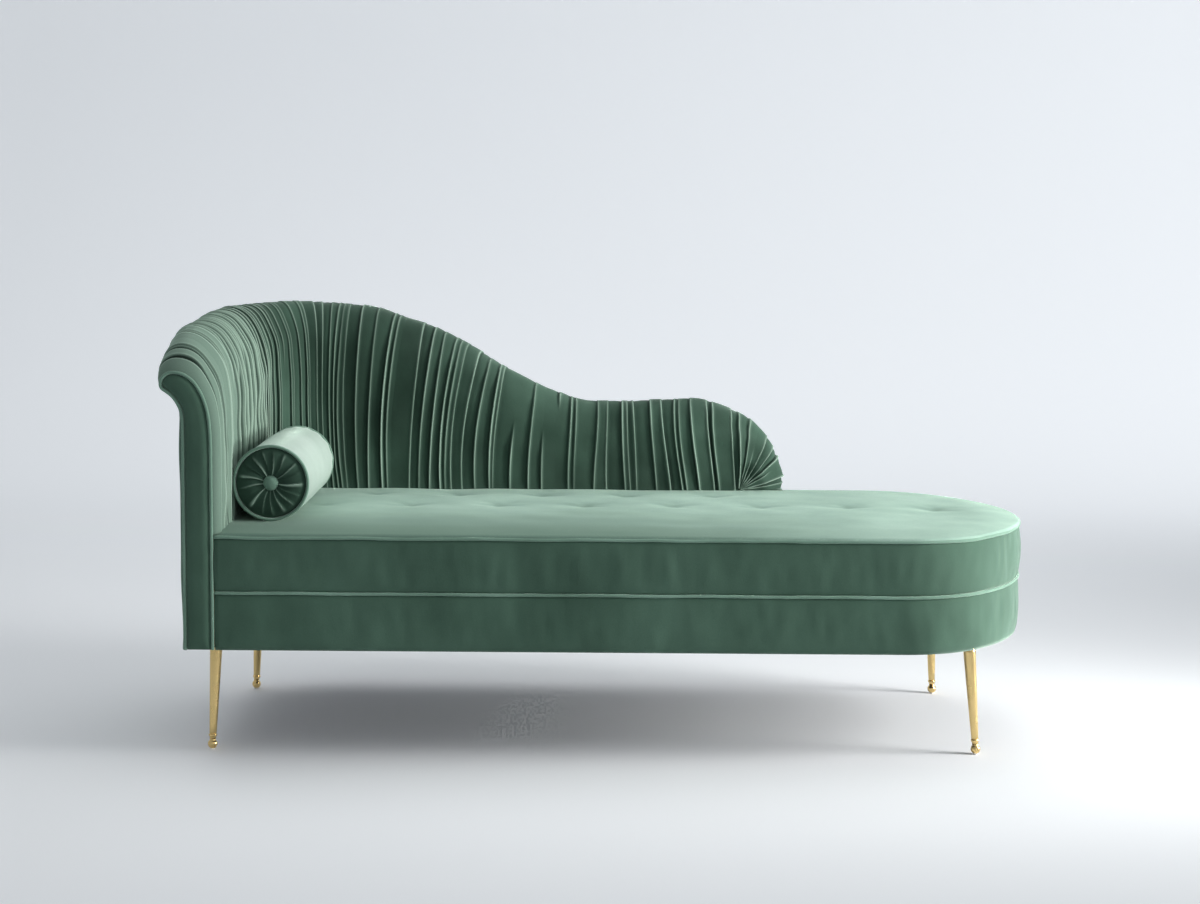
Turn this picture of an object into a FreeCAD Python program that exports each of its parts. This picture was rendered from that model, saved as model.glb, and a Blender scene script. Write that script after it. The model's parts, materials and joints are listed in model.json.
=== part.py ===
import FreeCAD, Part
import math
import os
from types import SimpleNamespace

import Sketcher

V = FreeCAD.Vector

doc = FreeCAD.newDocument("ChaiseLongue")

# Driving dimensions in millimetres, in the part's frame: X along the seat, Y to the back, Z up
DIMENSIONS = {
    # Seat plan: straight sides, then a three-centred round end
    "arm_face": -796.0,
    "front_face": -384.5,
    "back_face": 347.5,
    "straight_end": 561.0,
    "round_reach": 276.0,
    "corner_round": 215.0,
    # Heights of the upholstery
    "base_bottom": 213.0,
    "lower_welt": 322.0,
    "top_welt": 427.0,
    "seat_top": 440.0,
    "welt_radius": 3.0,
    "welt_inset": 1.5,
    "cloth": 2.0,
    "clearance": 0.4,
    # Seat frame
    "frame_inset": 12.0,
    "frame_bottom": 219.0,
    "rail_top": 318.0,
    "deck_top": 330.0,
    "rail_thickness": 25.0,
    "bent_thickness": 40.0,
    "bent_tail": 60.0,
    "cross_rail_low": 232.0,
    "cross_rail_high": 300.0,
    "cross_rail_first": -420.0,
    "cross_rail_pitch": 340.0,
    "dowel_radius": 5.0,
    "dowel_length": 50.0,
    "dowel_low": 243.0,
    "dowel_high": 294.0,
    "block_along": 110.0,
    "block_height": 60.0,
    # Wall of the arm and back: distances inward from its outer face
    "wall_corner": 210.0,
    "board_outer": 11.0,
    "board_inner": 56.0,
    "liner_inner": 59.0,
    "liner_gap": 1.0,
    "wadding_gap": 4.0,
    "seat_edge": 63.0,
    "sole_inner": 75.0,
    "pad_inner": 76.0,
    "pad_foot": 441.0,
    "board_thickness": 18.0,
    "lath_thickness": 8.0,
    "lath_height": 40.0,
    "lath_low": 360.0,
    "lath_high": 500.0,
    "tack_low": 452.0,
    "wall_end": 388.0,
    "fan_pivot": 291.0,
    "fan_foot": 4.0,
    "wall_front": -382.0,
    # Scroll of the wall: three widening arcs rise to the crest, then the roll turns over
    "rise_radius_1": 420.0,
    "rise_radius_2": 160.0,
    "rise_radius_3": 62.0,
    "rise_angle_1": 10.0,
    "rise_angle_2": 25.0,
    "roll_reach": 41.0,
    "roll_radius": 38.0,
    "roll_tighten": 4.7,
    "nose_radius": 20.0,
    "hollow_radius": 60.0,
    "board_drop": 16.0,
    "board_tip": 12.0,
    "board_roll": 14.0,
    "board_nose": 8.0,
    # Arm facing
    "facing_front": -386.5,
    "facing_thickness": 8.0,
    # Webbing, felt, foam
    "strap_width": 50.0,
    "strap_thickness": 1.4,
    "cross_strap_first": -650.0,
    "cross_strap_pitch": 128.0,
    "long_strap_outer": 200.0,
    "long_strap_inner": 68.0,
    "long_strap_short": 740.0,
    "long_strap_long": 800.0,
    "felt_low": 333.4,
    "felt_high": 336.4,
    "foam_inset": 5.0,
    "tuft_first": -577.0,
    "tuft_pitch": 179.0,
    "tuft_front_row": 1.5,
    "tuft_rear_row": 171.5,
    "tie_radius": 1.5,
    # Legs
    "foot_left": -757.0,
    "foot_right": 718.0,
    "foot_front": -286.5,
    "foot_rear": 249.5,
    "splay_front_left_x": 7.0,
    "splay_front_left_y": 16.5,
    "splay_front_right_x": -17.0,
    "splay_front_right_y": 6.0,
    "splay_rear_left_x": 10.0,
    "splay_rear_left_y": -15.0,
    "splay_rear_right_x": -10.0,
    "splay_rear_right_y": -15.0,
    "leg_top_radius": 12.5,
    "leg_foot_radius": 7.0,
    "leg_top": 216.8,
    "leg_foot": 11.0,
    "groove_depth": 1.0,
    "ring_height": 4.0,
    "ball_radius": 9.3,
    "ball_centre": 10.2,
    "glide_radius": 5.0,
    "glide_height": 2.0,
    "stud_radius": 4.0,
    "stud_foot": 182.0,
    "stud_head": 237.0,
    "bore_foot": 200.0,
    "nut_foot": 211.5,
    "nut_flange": 10.0,
    "nut_shoulder": 213.5,
    "nut_radius": 5.5,
    "nut_head": 225.5,
    # Bolster
    "bolster_x": -645.0,
    "bolster_front": -252.0,
    "bolster_rear": 125.0,
    "bolster_radius": 74.0,
    "bolster_gap": 0.4,
    "cap_radius": 67.6,
    "cap_dish": 2.0,
    "button_radius": 15.0,
    "button_height": 7.0,
}

# Distance along the wall from the arm's front, with the height of its crest
CREST = [
    (0, 748), (45, 776), (110, 797), (220, 812), (500, 830), (774, 843), (904, 836), (1007, 809),
    (1099, 774), (1208, 712), (1317, 656), (1407, 631), (1535, 634), (1622, 637), (1688, 626), (1729, 609),
]
# Lean of the last sections about the pivot, with their reach from it
FAN = [(0, 168), (18, 143), (36, 125), (54, 111), (72, 103), (90, 97)]
# Station distances of the lofted skins along the wall before the fan
STATIONS = [2.5, 45, 110, 220, 522, 588, 654, 720, 786, 852, 950, 1045, 1150, 1260, 1370, 1455, 1550, 1640, 1695, 1729]

# Flat chords that stand for each arc of the wall's section: three rises, roll, nose, hollow
CHORDS = (1, 2, 2, 3, 1, 2)
# Flat sides of the round pieces
WIDE_SIDES, LEG_SIDES, SMALL_SIDES, CORD_SIDES = 36, 16, 8, 6


class Size:
    """A length with its value and the sheet formula that gives it."""

    def __init__(self, value, formula):
        self.value = value
        self.formula = formula

    def __add__(self, other):
        other = as_size(other)
        return Size(self.value + other.value, f"({self.formula} + {other.formula})")

    def __sub__(self, other):
        other = as_size(other)
        return Size(self.value - other.value, f"({self.formula} - {other.formula})")

    def __mul__(self, other):
        other = as_size(other)
        return Size(self.value * other.value, f"({self.formula} * {other.formula})")

    def __truediv__(self, other):
        other = as_size(other)
        return Size(self.value / other.value, f"({self.formula} / {other.formula})")


def as_size(number):
    return number if isinstance(number, Size) else Size(float(number), str(number))


sheet = doc.addObject("Spreadsheet::Sheet", "Sizes")
for row, (alias, number) in enumerate(DIMENSIONS.items(), start=1):
    sheet.set(f"A{row}", alias)
    sheet.set(f"B{row}", str(number))
    sheet.setAlias(f"B{row}", alias)
doc.recompute()

S = SimpleNamespace(**{alias: Size(float(sheet.get(alias)), f"Sizes.{alias}") for alias in DIMENSIONS})
NODES = []


def keep(piece):
    """Hand the piece in as a node."""
    NODES.append(piece)
    return piece


# Sketch and feature helpers


def new_body(label):
    body = doc.addObject("PartDesign::Body", label)
    body.Label = label
    return body


def new_sketch(body, role, level=None):
    """A sketch on one of the body's origin planes, raised along the plane's normal."""
    sketch = body.newObject("Sketcher::SketchObject", f"{body.Name}_sketch")
    plane = next(feature for feature in body.Origin.OriginFeatures if feature.Role == role)
    sketch.AttachmentSupport = [(plane, "")]
    sketch.MapMode = "FlatFace"
    if level is not None:
        sketch.setExpression("AttachmentOffset.Base.z", level.formula)
    return sketch


def bind(sketch, kind, references, size):
    """Add a dimension whose value comes from the sheet."""
    index = sketch.addConstraint(Sketcher.Constraint(kind, *references, size.value))
    sketch.setExpression(f"Constraints[{index}]", size.formula)


def pin(sketch, geometry, end, x=None, y=None):
    """Hold one end of a line or arc at the given place."""
    if x is not None:
        bind(sketch, "DistanceX", (-1, 1, geometry, end), as_size(x))
    if y is not None:
        bind(sketch, "DistanceY", (-1, 1, geometry, end), as_size(y))


def add_line(sketch, start, end):
    return sketch.addGeometry(Part.LineSegment(V(*start, 0), V(*end, 0)))


def add_arc(sketch, centre, radius, first, last):
    """Arc from angle first to angle last, in radians, anticlockwise."""
    circle = Part.Circle(V(*centre, 0), V(0, 0, 1), radius)
    return sketch.addGeometry(Part.ArcOfCircle(circle, first, last))


def add_circle(sketch, x, y, radius):
    x, y = as_size(x), as_size(y)
    index = sketch.addGeometry(Part.Circle(V(x.value, y.value, 0), V(0, 0, 1), radius.value))
    pin(sketch, index, 3, x, y)
    bind(sketch, "Radius", (index,), radius)
    return index


def link(sketch, kind, first, first_end, second, second_end):
    sketch.addConstraint(Sketcher.Constraint(kind, first, first_end, second, second_end))


def polygon(sketch, points):
    """Closed outline of straight sides through the given corners."""
    corners = [(as_size(x), as_size(y)) for x, y in points]
    sides = []
    for (x0, y0), (x1, y1) in zip(corners, corners[1:] + corners[:1]):
        sides.append(add_line(sketch, (x0.value, y0.value), (x1.value, y1.value)))
    for index, side in enumerate(sides):
        link(sketch, "Coincident", side, 2, sides[(index + 1) % len(sides)], 1)
        pin(sketch, side, 1, *corners[index])


def pad(body, sketch, length):
    feature = body.newObject("PartDesign::Pad", f"{body.Name}_pad")
    feature.Profile = sketch
    feature.setExpression("Length", as_size(length).formula)
    sketch.Visibility = False
    return feature


def pocket(body, sketch, length, upwards):
    """Cut along the sketch's normal, or against it."""
    feature = body.newObject("PartDesign::Pocket", f"{body.Name}_pocket")
    feature.Profile = sketch
    feature.Reversed = upwards
    feature.setExpression("Length", as_size(length).formula)
    return feature


def block(label, left, right, front, rear, low, high):
    """Rectangular piece between the given faces."""
    body = new_body(label)
    sketch = new_sketch(body, "XY_Plane", low)
    polygon(sketch, [(left, front), (right, front), (right, rear), (left, rear)])
    pad(body, sketch, high - low)
    return body


def cut(label, base, tool):
    """The base with the tool's shape taken out."""
    feature = doc.addObject("Part::Cut", label)
    feature.Base = base
    feature.Tool = tool
    feature.Label = label
    return feature


def group(label, pieces):
    """Separate solids that share one node."""
    feature = doc.addObject("Part::Compound", label)
    feature.Links = pieces
    feature.Label = label
    return feature


def free_shape(label, shape):
    feature = doc.addObject("Part::Feature", label)
    feature.Shape = shape
    feature.Label = label
    return feature


def flat_face(corners):
    return Part.Face(Part.makePolygon(corners + corners[:1]))


def faceted(rings, closed=False):
    """Solid with flat faces between rings of equally many points; an open row of rings gets flat ends."""
    pairs = list(zip(rings, rings[1:]))
    faces = []
    if closed:
        pairs.append((rings[-1], rings[0]))
    else:
        faces = [flat_face(rings[0]), flat_face(rings[-1])]
    for before, after in pairs:
        for index in range(len(before)):
            near, far = before[index - 1], before[index]
            next_near, next_far = after[index - 1], after[index]
            if near.distanceToPoint(next_far) < far.distanceToPoint(next_near):
                triangles = [near, far, next_far], [near, next_far, next_near]
            else:
                triangles = [near, far, next_near], [far, next_far, next_near]
            for corners in triangles:
                area = (corners[1] - corners[0]).cross(corners[2] - corners[0]).Length
                if area > 1e-6:
                    faces.append(flat_face(corners))
    shell = Part.Shell(faces)
    shell.sewShape()
    solid = Part.Solid(shell)
    solid.fix(1e-6, 1e-6, 1e-6)
    return solid.removeSplitter()


def turned(label, profile, sides):
    """Piece with flat sides about its own Z axis, from (radius, height) corners."""
    corners = [(as_size(radius).value, as_size(height).value) for radius, height in profile]
    rings = []
    for side in range(sides):
        angle = 2 * math.pi * side / sides
        rings.append([V(r * math.cos(angle), r * math.sin(angle), h) for r, h in corners])
    return free_shape(label, faceted(rings, closed=True))


# Plan outlines

half_width = (S.back_face - S.front_face) / 2
end_round = (
    (S.round_reach * S.round_reach + half_width * half_width - half_width * S.corner_round * 2)
    / ((S.round_reach - S.corner_round) * 2)
)
mid_y = (S.front_face + S.back_face) / 2
corner_offset = half_width - S.corner_round
join_angle = math.asin(corner_offset.value / (end_round - S.corner_round).value)


def arch_path(sketch, inset, front_start, rear_end):
    """Front line, three arcs round the end and rear line, all the same inset from the seat's outline."""
    corner = S.corner_round - inset
    end = end_round - inset
    front = S.front_face + inset
    rear = S.back_face - inset
    turn_x = S.straight_end.value
    front_centre = (turn_x, (mid_y - corner_offset).value)
    rear_centre = (turn_x, (mid_y + corner_offset).value)
    end_centre = ((S.straight_end + S.round_reach - end_round).value, mid_y.value)
    path = [
        add_line(sketch, (front_start.value, front.value), (turn_x, front.value)),
        add_arc(sketch, front_centre, corner.value, -math.pi / 2, -join_angle),
        add_arc(sketch, end_centre, end.value, -join_angle, join_angle),
        add_arc(sketch, rear_centre, corner.value, join_angle, math.pi / 2),
        add_line(sketch, (turn_x, rear.value), (rear_end.value, rear.value)),
    ]
    for before, after in zip(path, path[1:]):
        link(sketch, "Tangent", before, 2, after, 1)
    for arc, radius in ((path[1], corner), (path[2], end), (path[3], corner)):
        bind(sketch, "Radius", (arc,), radius)
    for straight in (path[0], path[4]):
        sketch.addConstraint(Sketcher.Constraint("Horizontal", straight))
    pin(sketch, path[0], 1, front_start, front)
    pin(sketch, path[0], 2, S.straight_end)
    pin(sketch, path[4], 1, S.straight_end, rear)
    pin(sketch, path[4], 2, rear_end)
    return path


def wall_path(sketch, inset, front_start, rear_end):
    """Arm line, rear corner arc and back line, all the same inset from the wall's outer face."""
    radius = S.wall_corner - inset
    side = S.arm_face + inset
    rear = S.back_face - inset
    centre = ((S.arm_face + S.wall_corner).value, (S.back_face - S.wall_corner).value)
    path = [
        add_line(sketch, (side.value, front_start.value), (side.value, centre[1])),
        add_arc(sketch, centre, radius.value, math.pi / 2, math.pi),
        add_line(sketch, (centre[0], rear.value), (rear_end.value, rear.value)),
    ]
    link(sketch, "Tangent", path[0], 2, path[1], 2)
    link(sketch, "Tangent", path[1], 1, path[2], 1)
    bind(sketch, "Radius", (path[1],), radius)
    sketch.addConstraint(Sketcher.Constraint("Vertical", path[0]))
    sketch.addConstraint(Sketcher.Constraint("Horizontal", path[2]))
    pin(sketch, path[0], 1, side, front_start)
    pin(sketch, path[2], 2, rear_end, rear)
    return path


def strip(label, path, outer, inner, start, end, low, high):
    """Upright band between two insets of a plan path."""
    body = new_body(label)
    sketch = new_sketch(body, "XY_Plane", low)
    outside = path(sketch, outer, start, end)
    inside = path(sketch, inner, start, end)
    for edge, corner in ((0, 1), (-1, 2)):
        points = [sketch.getPoint(run[edge], corner) for run in (outside, inside)]
        cap = add_line(sketch, points[0][:2], points[1][:2])
        link(sketch, "Coincident", cap, 1, outside[edge], corner)
        link(sketch, "Coincident", cap, 2, inside[edge], corner)
    pad(body, sketch, high - low)
    return body


def deck_outline(sketch, inset, left, rear, corner, step=None):
    """Whole seat plan: round end, rounded rear left corner and, where given, a step behind the wall's end."""
    path = arch_path(sketch, inset, left, step or left + corner)
    centre = ((left + corner).value, (rear - corner).value)
    back = path[4]
    if step:
        drop = add_line(sketch, (step.value, (S.back_face - inset).value), (step.value, rear.value))
        back = add_line(sketch, (step.value, rear.value), (centre[0], rear.value))
        link(sketch, "Coincident", path[4], 2, drop, 1)
        link(sketch, "Coincident", drop, 2, back, 1)
        sketch.addConstraint(Sketcher.Constraint("Vertical", drop))
        sketch.addConstraint(Sketcher.Constraint("Horizontal", back))
        pin(sketch, back, 1, None, rear)
    turn = add_arc(sketch, centre, corner.value, math.pi / 2, math.pi)
    side = add_line(sketch, (left.value, centre[1]), (left.value, (S.front_face + inset).value))
    link(sketch, "Tangent", turn, 2, side, 1)
    link(sketch, "Coincident", side, 2, path[0], 1)
    if step:
        link(sketch, "Tangent", back, 2, turn, 1)
        sketch.addConstraint(Sketcher.Constraint("Vertical", side))
        bind(sketch, "Radius", (turn,), corner)
    else:
        link(sketch, "Tangent", back, 2, turn, 1)
        sketch.addConstraint(Sketcher.Constraint("Vertical", side))


def deck_layer(label, inset, low, high):
    """Closed layer of the seat, clear of the wall."""
    body = new_body(label)
    sketch = new_sketch(body, "XY_Plane", low)
    inner = S.seat_edge + inset
    deck_outline(
        sketch, inset, S.arm_face + inner, S.back_face - inner, S.wall_corner - inner, S.wall_end + inset + 1
    )
    pad(body, sketch, high - low)
    return body


def top_edges(feature, height):
    """Names of the edges that lie flat at the given height."""
    names = []
    for index, edge in enumerate(feature.Shape.Edges, start=1):
        box = edge.BoundBox
        if abs(box.ZMin - height) < 1e-4 and abs(box.ZMax - height) < 1e-4:
            names.append(f"Edge{index}")
    return names


# Scroll of the wall


def smooth(knots, place):
    """Piecewise cubic through the knots, flat where they turn."""
    if place <= knots[0][0]:
        return float(knots[0][1])
    if place >= knots[-1][0]:
        return float(knots[-1][1])
    slopes = [(after[1] - before[1]) / (after[0] - before[0]) for before, after in zip(knots, knots[1:])]
    index = max(i for i in range(len(slopes)) if knots[i][0] <= place)

    def tangent(knot):
        if knot == 0 or knot == len(knots) - 1:
            return slopes[min(knot, len(slopes) - 1)]
        left, right = slopes[knot - 1], slopes[knot]
        return 2 * left * right / (left + right) if left * right > 0 else 0.0

    width = knots[index + 1][0] - knots[index][0]
    part = (place - knots[index][0]) / width
    start, end = knots[index][1], knots[index + 1][1]
    first, last = tangent(index) * width, tangent(index + 1) * width
    rise = part * part * (3 - 2 * part)
    return (
        start + (end - start) * rise + first * part * (1 - part) ** 2 - last * part * part * (1 - part)
    )


arm_length = (S.back_face - S.wall_corner - S.front_face).value
corner_length = S.wall_corner.value * math.pi / 2
back_start = arm_length + corner_length


def overhang(distance):
    """Share of the arm's overhang that the roll still has at this distance along the wall."""
    first, last, least = back_start - 60, back_start + 560, 0.28
    part = min(max((distance - first) / (last - first), 0), 1)
    return 1 - (1 - least) * part * part * (3 - 2 * part)


class Station:
    """One upright or leaning section plane of the wall."""

    def __init__(self, distance, lean=0.0, reach=None):
        turn = min(max((distance - arm_length) / S.wall_corner.value, 0), math.pi / 2)
        self.outward = V(-math.cos(turn), math.sin(turn), 0)
        self.along = V(math.sin(turn), math.cos(turn), 0)
        centre = V((S.arm_face + S.wall_corner).value, (S.back_face - S.wall_corner).value, 0)
        before = min(distance - arm_length, 0)
        after = max(distance - back_start, 0)
        self.base = centre + self.outward * S.wall_corner.value + self.along * (before + after)
        self.lean = math.radians(lean)
        self.foot = S.fan_foot.value if lean else 0.0
        self.share = overhang(distance) * (1 - 0.6 * lean / 90)
        self.crest = S.pad_foot.value + reach if reach else smooth(CREST, distance)
        if lean:
            self.base.x = S.fan_pivot.value

    def point(self, across, height):
        """Point of the section, across outward from the wall's outer face."""
        rise = height - S.pad_foot.value if self.lean else 0.0
        up = V(math.sin(self.lean) * rise, 0, math.cos(self.lean) * rise)
        level = V(0, 0, S.pad_foot.value if self.lean else height)
        return self.base + self.outward * across + level + up


fan_start = back_start + (S.fan_pivot - S.arm_face - S.wall_corner).value


def wall_stations():
    """Stations of the lofted skins from the arm's front to the low end of the back."""
    upright = [Station(distance) for distance in STATIONS]
    return upright + [Station(fan_start, lean, reach) for lean, reach in FAN[1:]]


def scroll(station, board=False, shift=0.0):
    """Arcs of the section, each as the ends of its chords, from the inner face over the roll to the hollow."""
    share = station.share
    inner, outer, crest = S.pad_inner.value, 0.0, station.crest
    tip = S.roll_reach.value * share
    roll = S.roll_radius.value - S.roll_tighten.value * share
    nose, hollow = S.nose_radius.value, S.hollow_radius.value
    if board:
        inner, outer, crest = S.board_inner.value, -S.board_outer.value, crest - S.board_drop.value
        tip -= S.board_tip.value
        roll -= S.board_roll.value
        nose = S.board_nose.value
        hollow += S.board_outer.value
    radii = (S.rise_radius_1.value, S.rise_radius_2.value, S.rise_radius_3.value)
    turns = (S.rise_angle_1.value, S.rise_angle_2.value, 90 - S.rise_angle_1.value - S.rise_angle_2.value)
    ends = [math.radians(sum(turns[:i])) for i in range(4)]
    spread = sum(r * (math.cos(a) - math.cos(b)) for r, a, b in zip(radii, ends, ends[1:]))
    climb = sum(r * (math.sin(b) - math.sin(a)) for r, a, b in zip(radii, ends, ends[1:]))
    scale = (tip - roll + inner) / spread
    under = math.degrees(math.acos(1 - (tip - outer) / (nose + hollow)))
    turning = [(radius * scale, turn) for radius, turn in zip(radii, turns)]
    turning += [(roll, 90), (nose, under), (-hollow, -under)]
    across, height, heading = -inner - shift, crest - climb * scale, math.pi / 2
    arcs = []
    for (radius, turn), chords in zip(turning, CHORDS):
        radius += shift
        centre = (across + radius * math.sin(heading), height - radius * math.cos(heading))
        arcs.append([(across, height)])
        for chord in range(chords):
            aim = heading - math.radians(turn) * (chord + 1) / chords
            arcs[-1].append((centre[0] - radius * math.sin(aim), centre[1] + radius * math.cos(aim)))
        across, height = arcs[-1][-1]
        heading -= math.radians(turn)
    return arcs


def inner_run(station, foot, board=False, shift=0.0, count=5):
    """Straight inner face from its foot, then the arcs up to the given count, as (across, height) corners."""
    arcs = scroll(station, board, shift)
    start = arcs[0][0]
    corners = [(start[0], foot + station.foot), start]
    for arc in arcs[:count]:
        corners += arc[1:]
    return corners


def outer_run(station, foot, board=False, shift=0.0):
    """The hollow under the roll, then the straight outer face down to its foot."""
    hollow = scroll(station, board, shift)[-1]
    return hollow + [(hollow[-1][0], foot + station.foot)]


def board_run(station, foot, shift=0.0):
    """Whole outline of a board cut to the scroll."""
    return inner_run(station, foot, True, shift) + outer_run(station, foot, True, shift)[1:]


def ring(station, corners):
    return [station.point(*corner) for corner in corners]


def layer_ring(station, outer, inner):
    """Section of a layer between two runs."""
    return ring(station, outer + inner[::-1])


# Seat frame

frame_rear = S.back_face - S.frame_inset
frame_left = S.arm_face + S.frame_inset
corner_x = S.arm_face + S.wall_corner
corner_y = S.back_face - S.wall_corner
post_rear = S.facing_front + S.facing_thickness + S.clearance + S.board_thickness


def prism(label, sides, radius, height):
    """Straight piece with flat sides."""
    feature = doc.addObject("Part::Prism", label)
    feature.Polygon = sides
    feature.setExpression("Circumradius", radius.formula)
    feature.setExpression("Height", height.formula)
    return feature


def rail_dowels():
    """Two dowels in each joint between rails."""
    middle = S.frame_inset + S.rail_thickness / 2
    joints = [
        (S.straight_end - S.bent_tail, S.front_face + middle, True),
        (S.straight_end - S.bent_tail, S.back_face - middle, True),
        (corner_x + S.bent_tail, S.back_face - middle, True),
        (S.arm_face + middle, corner_y - S.bent_tail, False),
    ]
    half = S.dowel_length / 2
    dowels = []
    for number, (x, y, lengthwise) in enumerate(joints, start=1):
        for level, name in ((S.dowel_low, "low"), (S.dowel_high, "high")):
            dowel = prism(f"dowel_{number}_{name}", SMALL_SIDES, S.dowel_radius, S.dowel_length)
            direction = V(1, 0, 0) if lengthwise else V(0, 1, 0)
            dowel.Placement.Rotation = FreeCAD.Rotation(V(0, 0, 1), direction)
            dowel.setExpression("Placement.Base.x", (x - half if lengthwise else x).formula)
            dowel.setExpression("Placement.Base.y", (y if lengthwise else y - half).formula)
            dowel.setExpression("Placement.Base.z", level.formula)
            dowels.append(dowel)
    return dowels


# Legs: each stands on its own leaning axis, measured from the centre of its ball

LEGS = {
    "front_left": (S.foot_left, S.foot_front, S.splay_front_left_x, S.splay_front_left_y),
    "front_right": (S.foot_right, S.foot_front, S.splay_front_right_x, S.splay_front_right_y),
    "rear_left": (S.foot_left, S.foot_rear, S.splay_rear_left_x, S.splay_rear_left_y),
    "rear_right": (S.foot_right, S.foot_rear, S.splay_rear_right_x, S.splay_rear_right_y),
}


def leg_placement(x, y, splay_x, splay_y):
    rise = (S.leg_top - S.ball_centre).value
    axis = FreeCAD.Rotation(V(0, 0, 1), V(splay_x.value, splay_y.value, rise))
    return FreeCAD.Placement(V(x.value, y.value, S.ball_centre.value), axis)


def leg_hardware(name, placement):
    """Stud, tee nut and the bore that takes them."""
    stud = turned(f"stud_{name}", [
        (0, S.stud_foot), (S.stud_radius, S.stud_foot), (S.stud_radius, S.stud_head), (0, S.stud_head),
    ], SMALL_SIDES)
    nut = turned(f"nut_{name}", [
        (S.stud_radius, S.nut_foot), (S.nut_flange, S.nut_foot), (S.nut_flange, S.nut_shoulder),
        (S.nut_radius, S.nut_shoulder), (S.nut_radius, S.nut_head), (S.stud_radius, S.nut_head),
    ], SMALL_SIDES)
    bore = turned(f"bore_{name}", [
        (0, S.bore_foot), (S.nut_flange, S.bore_foot), (S.nut_flange, S.nut_shoulder),
        (S.nut_radius, S.nut_shoulder), (S.nut_radius, S.nut_head), (S.stud_radius, S.nut_head),
        (S.stud_radius, S.stud_head), (0, S.stud_head),
    ], SMALL_SIDES)
    for piece in (stud, nut, bore):
        piece.Placement = placement
    return stud, nut, bore


def leg(name, placement, stud, ceiling):
    """Tapered leg with a ring above its foot, cut level under the frame and bored for its stud."""
    foot, ring = S.leg_foot, S.ring_height
    neck = S.leg_foot_radius - S.groove_depth
    blank = turned(f"leg_{name}_blank", [
        (0, foot), (neck, foot), (neck, foot + ring / 2), (S.leg_foot_radius, foot + ring),
        (S.leg_foot_radius + S.groove_depth, foot + ring), (S.leg_foot_radius + S.groove_depth, foot + ring * 2),
        (neck, foot + ring * 2), (neck, foot + ring * 2.5), (S.leg_foot_radius, foot + ring * 2.5),
        (S.leg_top_radius, S.leg_top), (0, S.leg_top),
    ], LEG_SIDES)
    blank.Placement = placement
    level = cut(f"leg_{name}_level", blank, ceiling)
    return cut(f"leg_{name}", level, stud)


def ball_foot(name, placement, glide):
    """Ball with a short neck that meets the leg, flat where the glide sits."""
    neck = S.leg_foot_radius - S.groove_depth
    profile = [(0, S.ball_radius * -1)]
    for degrees in (-60, -30, 0, 30):
        angle = math.radians(degrees)
        profile.append((S.ball_radius * math.cos(angle), S.ball_radius * math.sin(angle)))
    profile += [(neck, S.ball_radius * 0.76), (neck, S.leg_foot), (0, S.leg_foot)]
    ball = turned(f"ball_{name}", profile, LEG_SIDES)
    ball.Placement = placement
    return cut(f"ball_foot_{name}", ball, glide)


def foot_glide(name, x, y):
    glide = prism(f"glide_{name}", SMALL_SIDES, S.glide_radius, S.glide_height)
    glide.setExpression("Placement.Base.x", x.formula)
    glide.setExpression("Placement.Base.y", y.formula)
    return glide


ceiling = block(
    "level_above_legs", S.arm_face, S.straight_end + S.round_reach, S.front_face, S.back_face,
    S.leg_top, S.rail_top,
)
studs, nuts, bores, glides = [], [], [], []
for name, (x, y, splay_x, splay_y) in LEGS.items():
    placement = leg_placement(x, y, splay_x, splay_y)
    stud, nut, bore = leg_hardware(name, placement)
    glide = foot_glide(name, x, y)
    keep(leg(name, placement, stud, ceiling))
    keep(ball_foot(name, placement, glide))
    studs.append(stud)
    nuts.append(nut)
    bores.append(bore)
    glides.append(glide)
keep(group("leg_studs", studs))
keep(group("tee_nuts", nuts))
keep(group("foot_glides", glides))

# Seat frame, drilled for the dowels and the leg hardware

dowels = rail_dowels()
keep(group("rail_dowels", dowels))
drillings = group("drillings", dowels + bores)
inset, thick = S.frame_inset, S.frame_inset + S.rail_thickness
bent = S.frame_inset + S.bent_thickness
tail_left, tail_back = corner_y - S.bent_tail, corner_x + S.bent_tail
round_start = S.straight_end - S.bent_tail
rails = {
    "front_rail": block(
        "front_rail_blank", S.arm_face + S.board_inner, round_start, S.front_face + inset,
        S.front_face + thick, S.frame_bottom, S.deck_top,
    ),
    "back_rail": block(
        "back_rail_blank", tail_back, round_start, S.back_face - thick, frame_rear, S.frame_bottom, S.rail_top
    ),
    "left_end_rail": block(
        "left_end_rail_blank", frame_left, S.arm_face + thick, post_rear, tail_left, S.frame_bottom, S.rail_top
    ),
    "rear_corner_rail": strip(
        "rear_corner_rail_blank", wall_path, inset, bent, tail_left, tail_back, S.frame_bottom, S.rail_top
    ),
    "round_end_rail": strip(
        "round_end_rail_blank", arch_path, inset, bent, round_start, round_start, S.frame_bottom, S.deck_top
    ),
}
for name, blank in rails.items():
    keep(cut(name, blank, drillings))


def corner_block():
    """Block glued between the front post, front rail and left end rail; the front left leg bolts to it."""
    side, front = S.arm_face + thick, S.front_face + thick
    body = new_body("corner_block_blank")
    sketch = new_sketch(body, "XY_Plane", S.frame_bottom)
    polygon(sketch, [
        (side, post_rear), (S.arm_face + S.board_inner, post_rear), (S.arm_face + S.board_inner, front),
        (side + S.block_along, front), (side, front + S.block_along),
    ])
    pad(body, sketch, S.block_height)
    return cut("corner_block", body, drillings)


def cross_rails():
    """Three rails from the front rail to the back rail."""
    rails = []
    for number in range(3):
        x = S.cross_rail_first + S.cross_rail_pitch * number
        rails.append(block(
            f"cross_rail_{number + 1}", x, x + S.rail_thickness, S.front_face + thick, S.back_face - thick,
            S.cross_rail_low, S.cross_rail_high,
        ))
    return group("cross_rails", rails)


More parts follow.
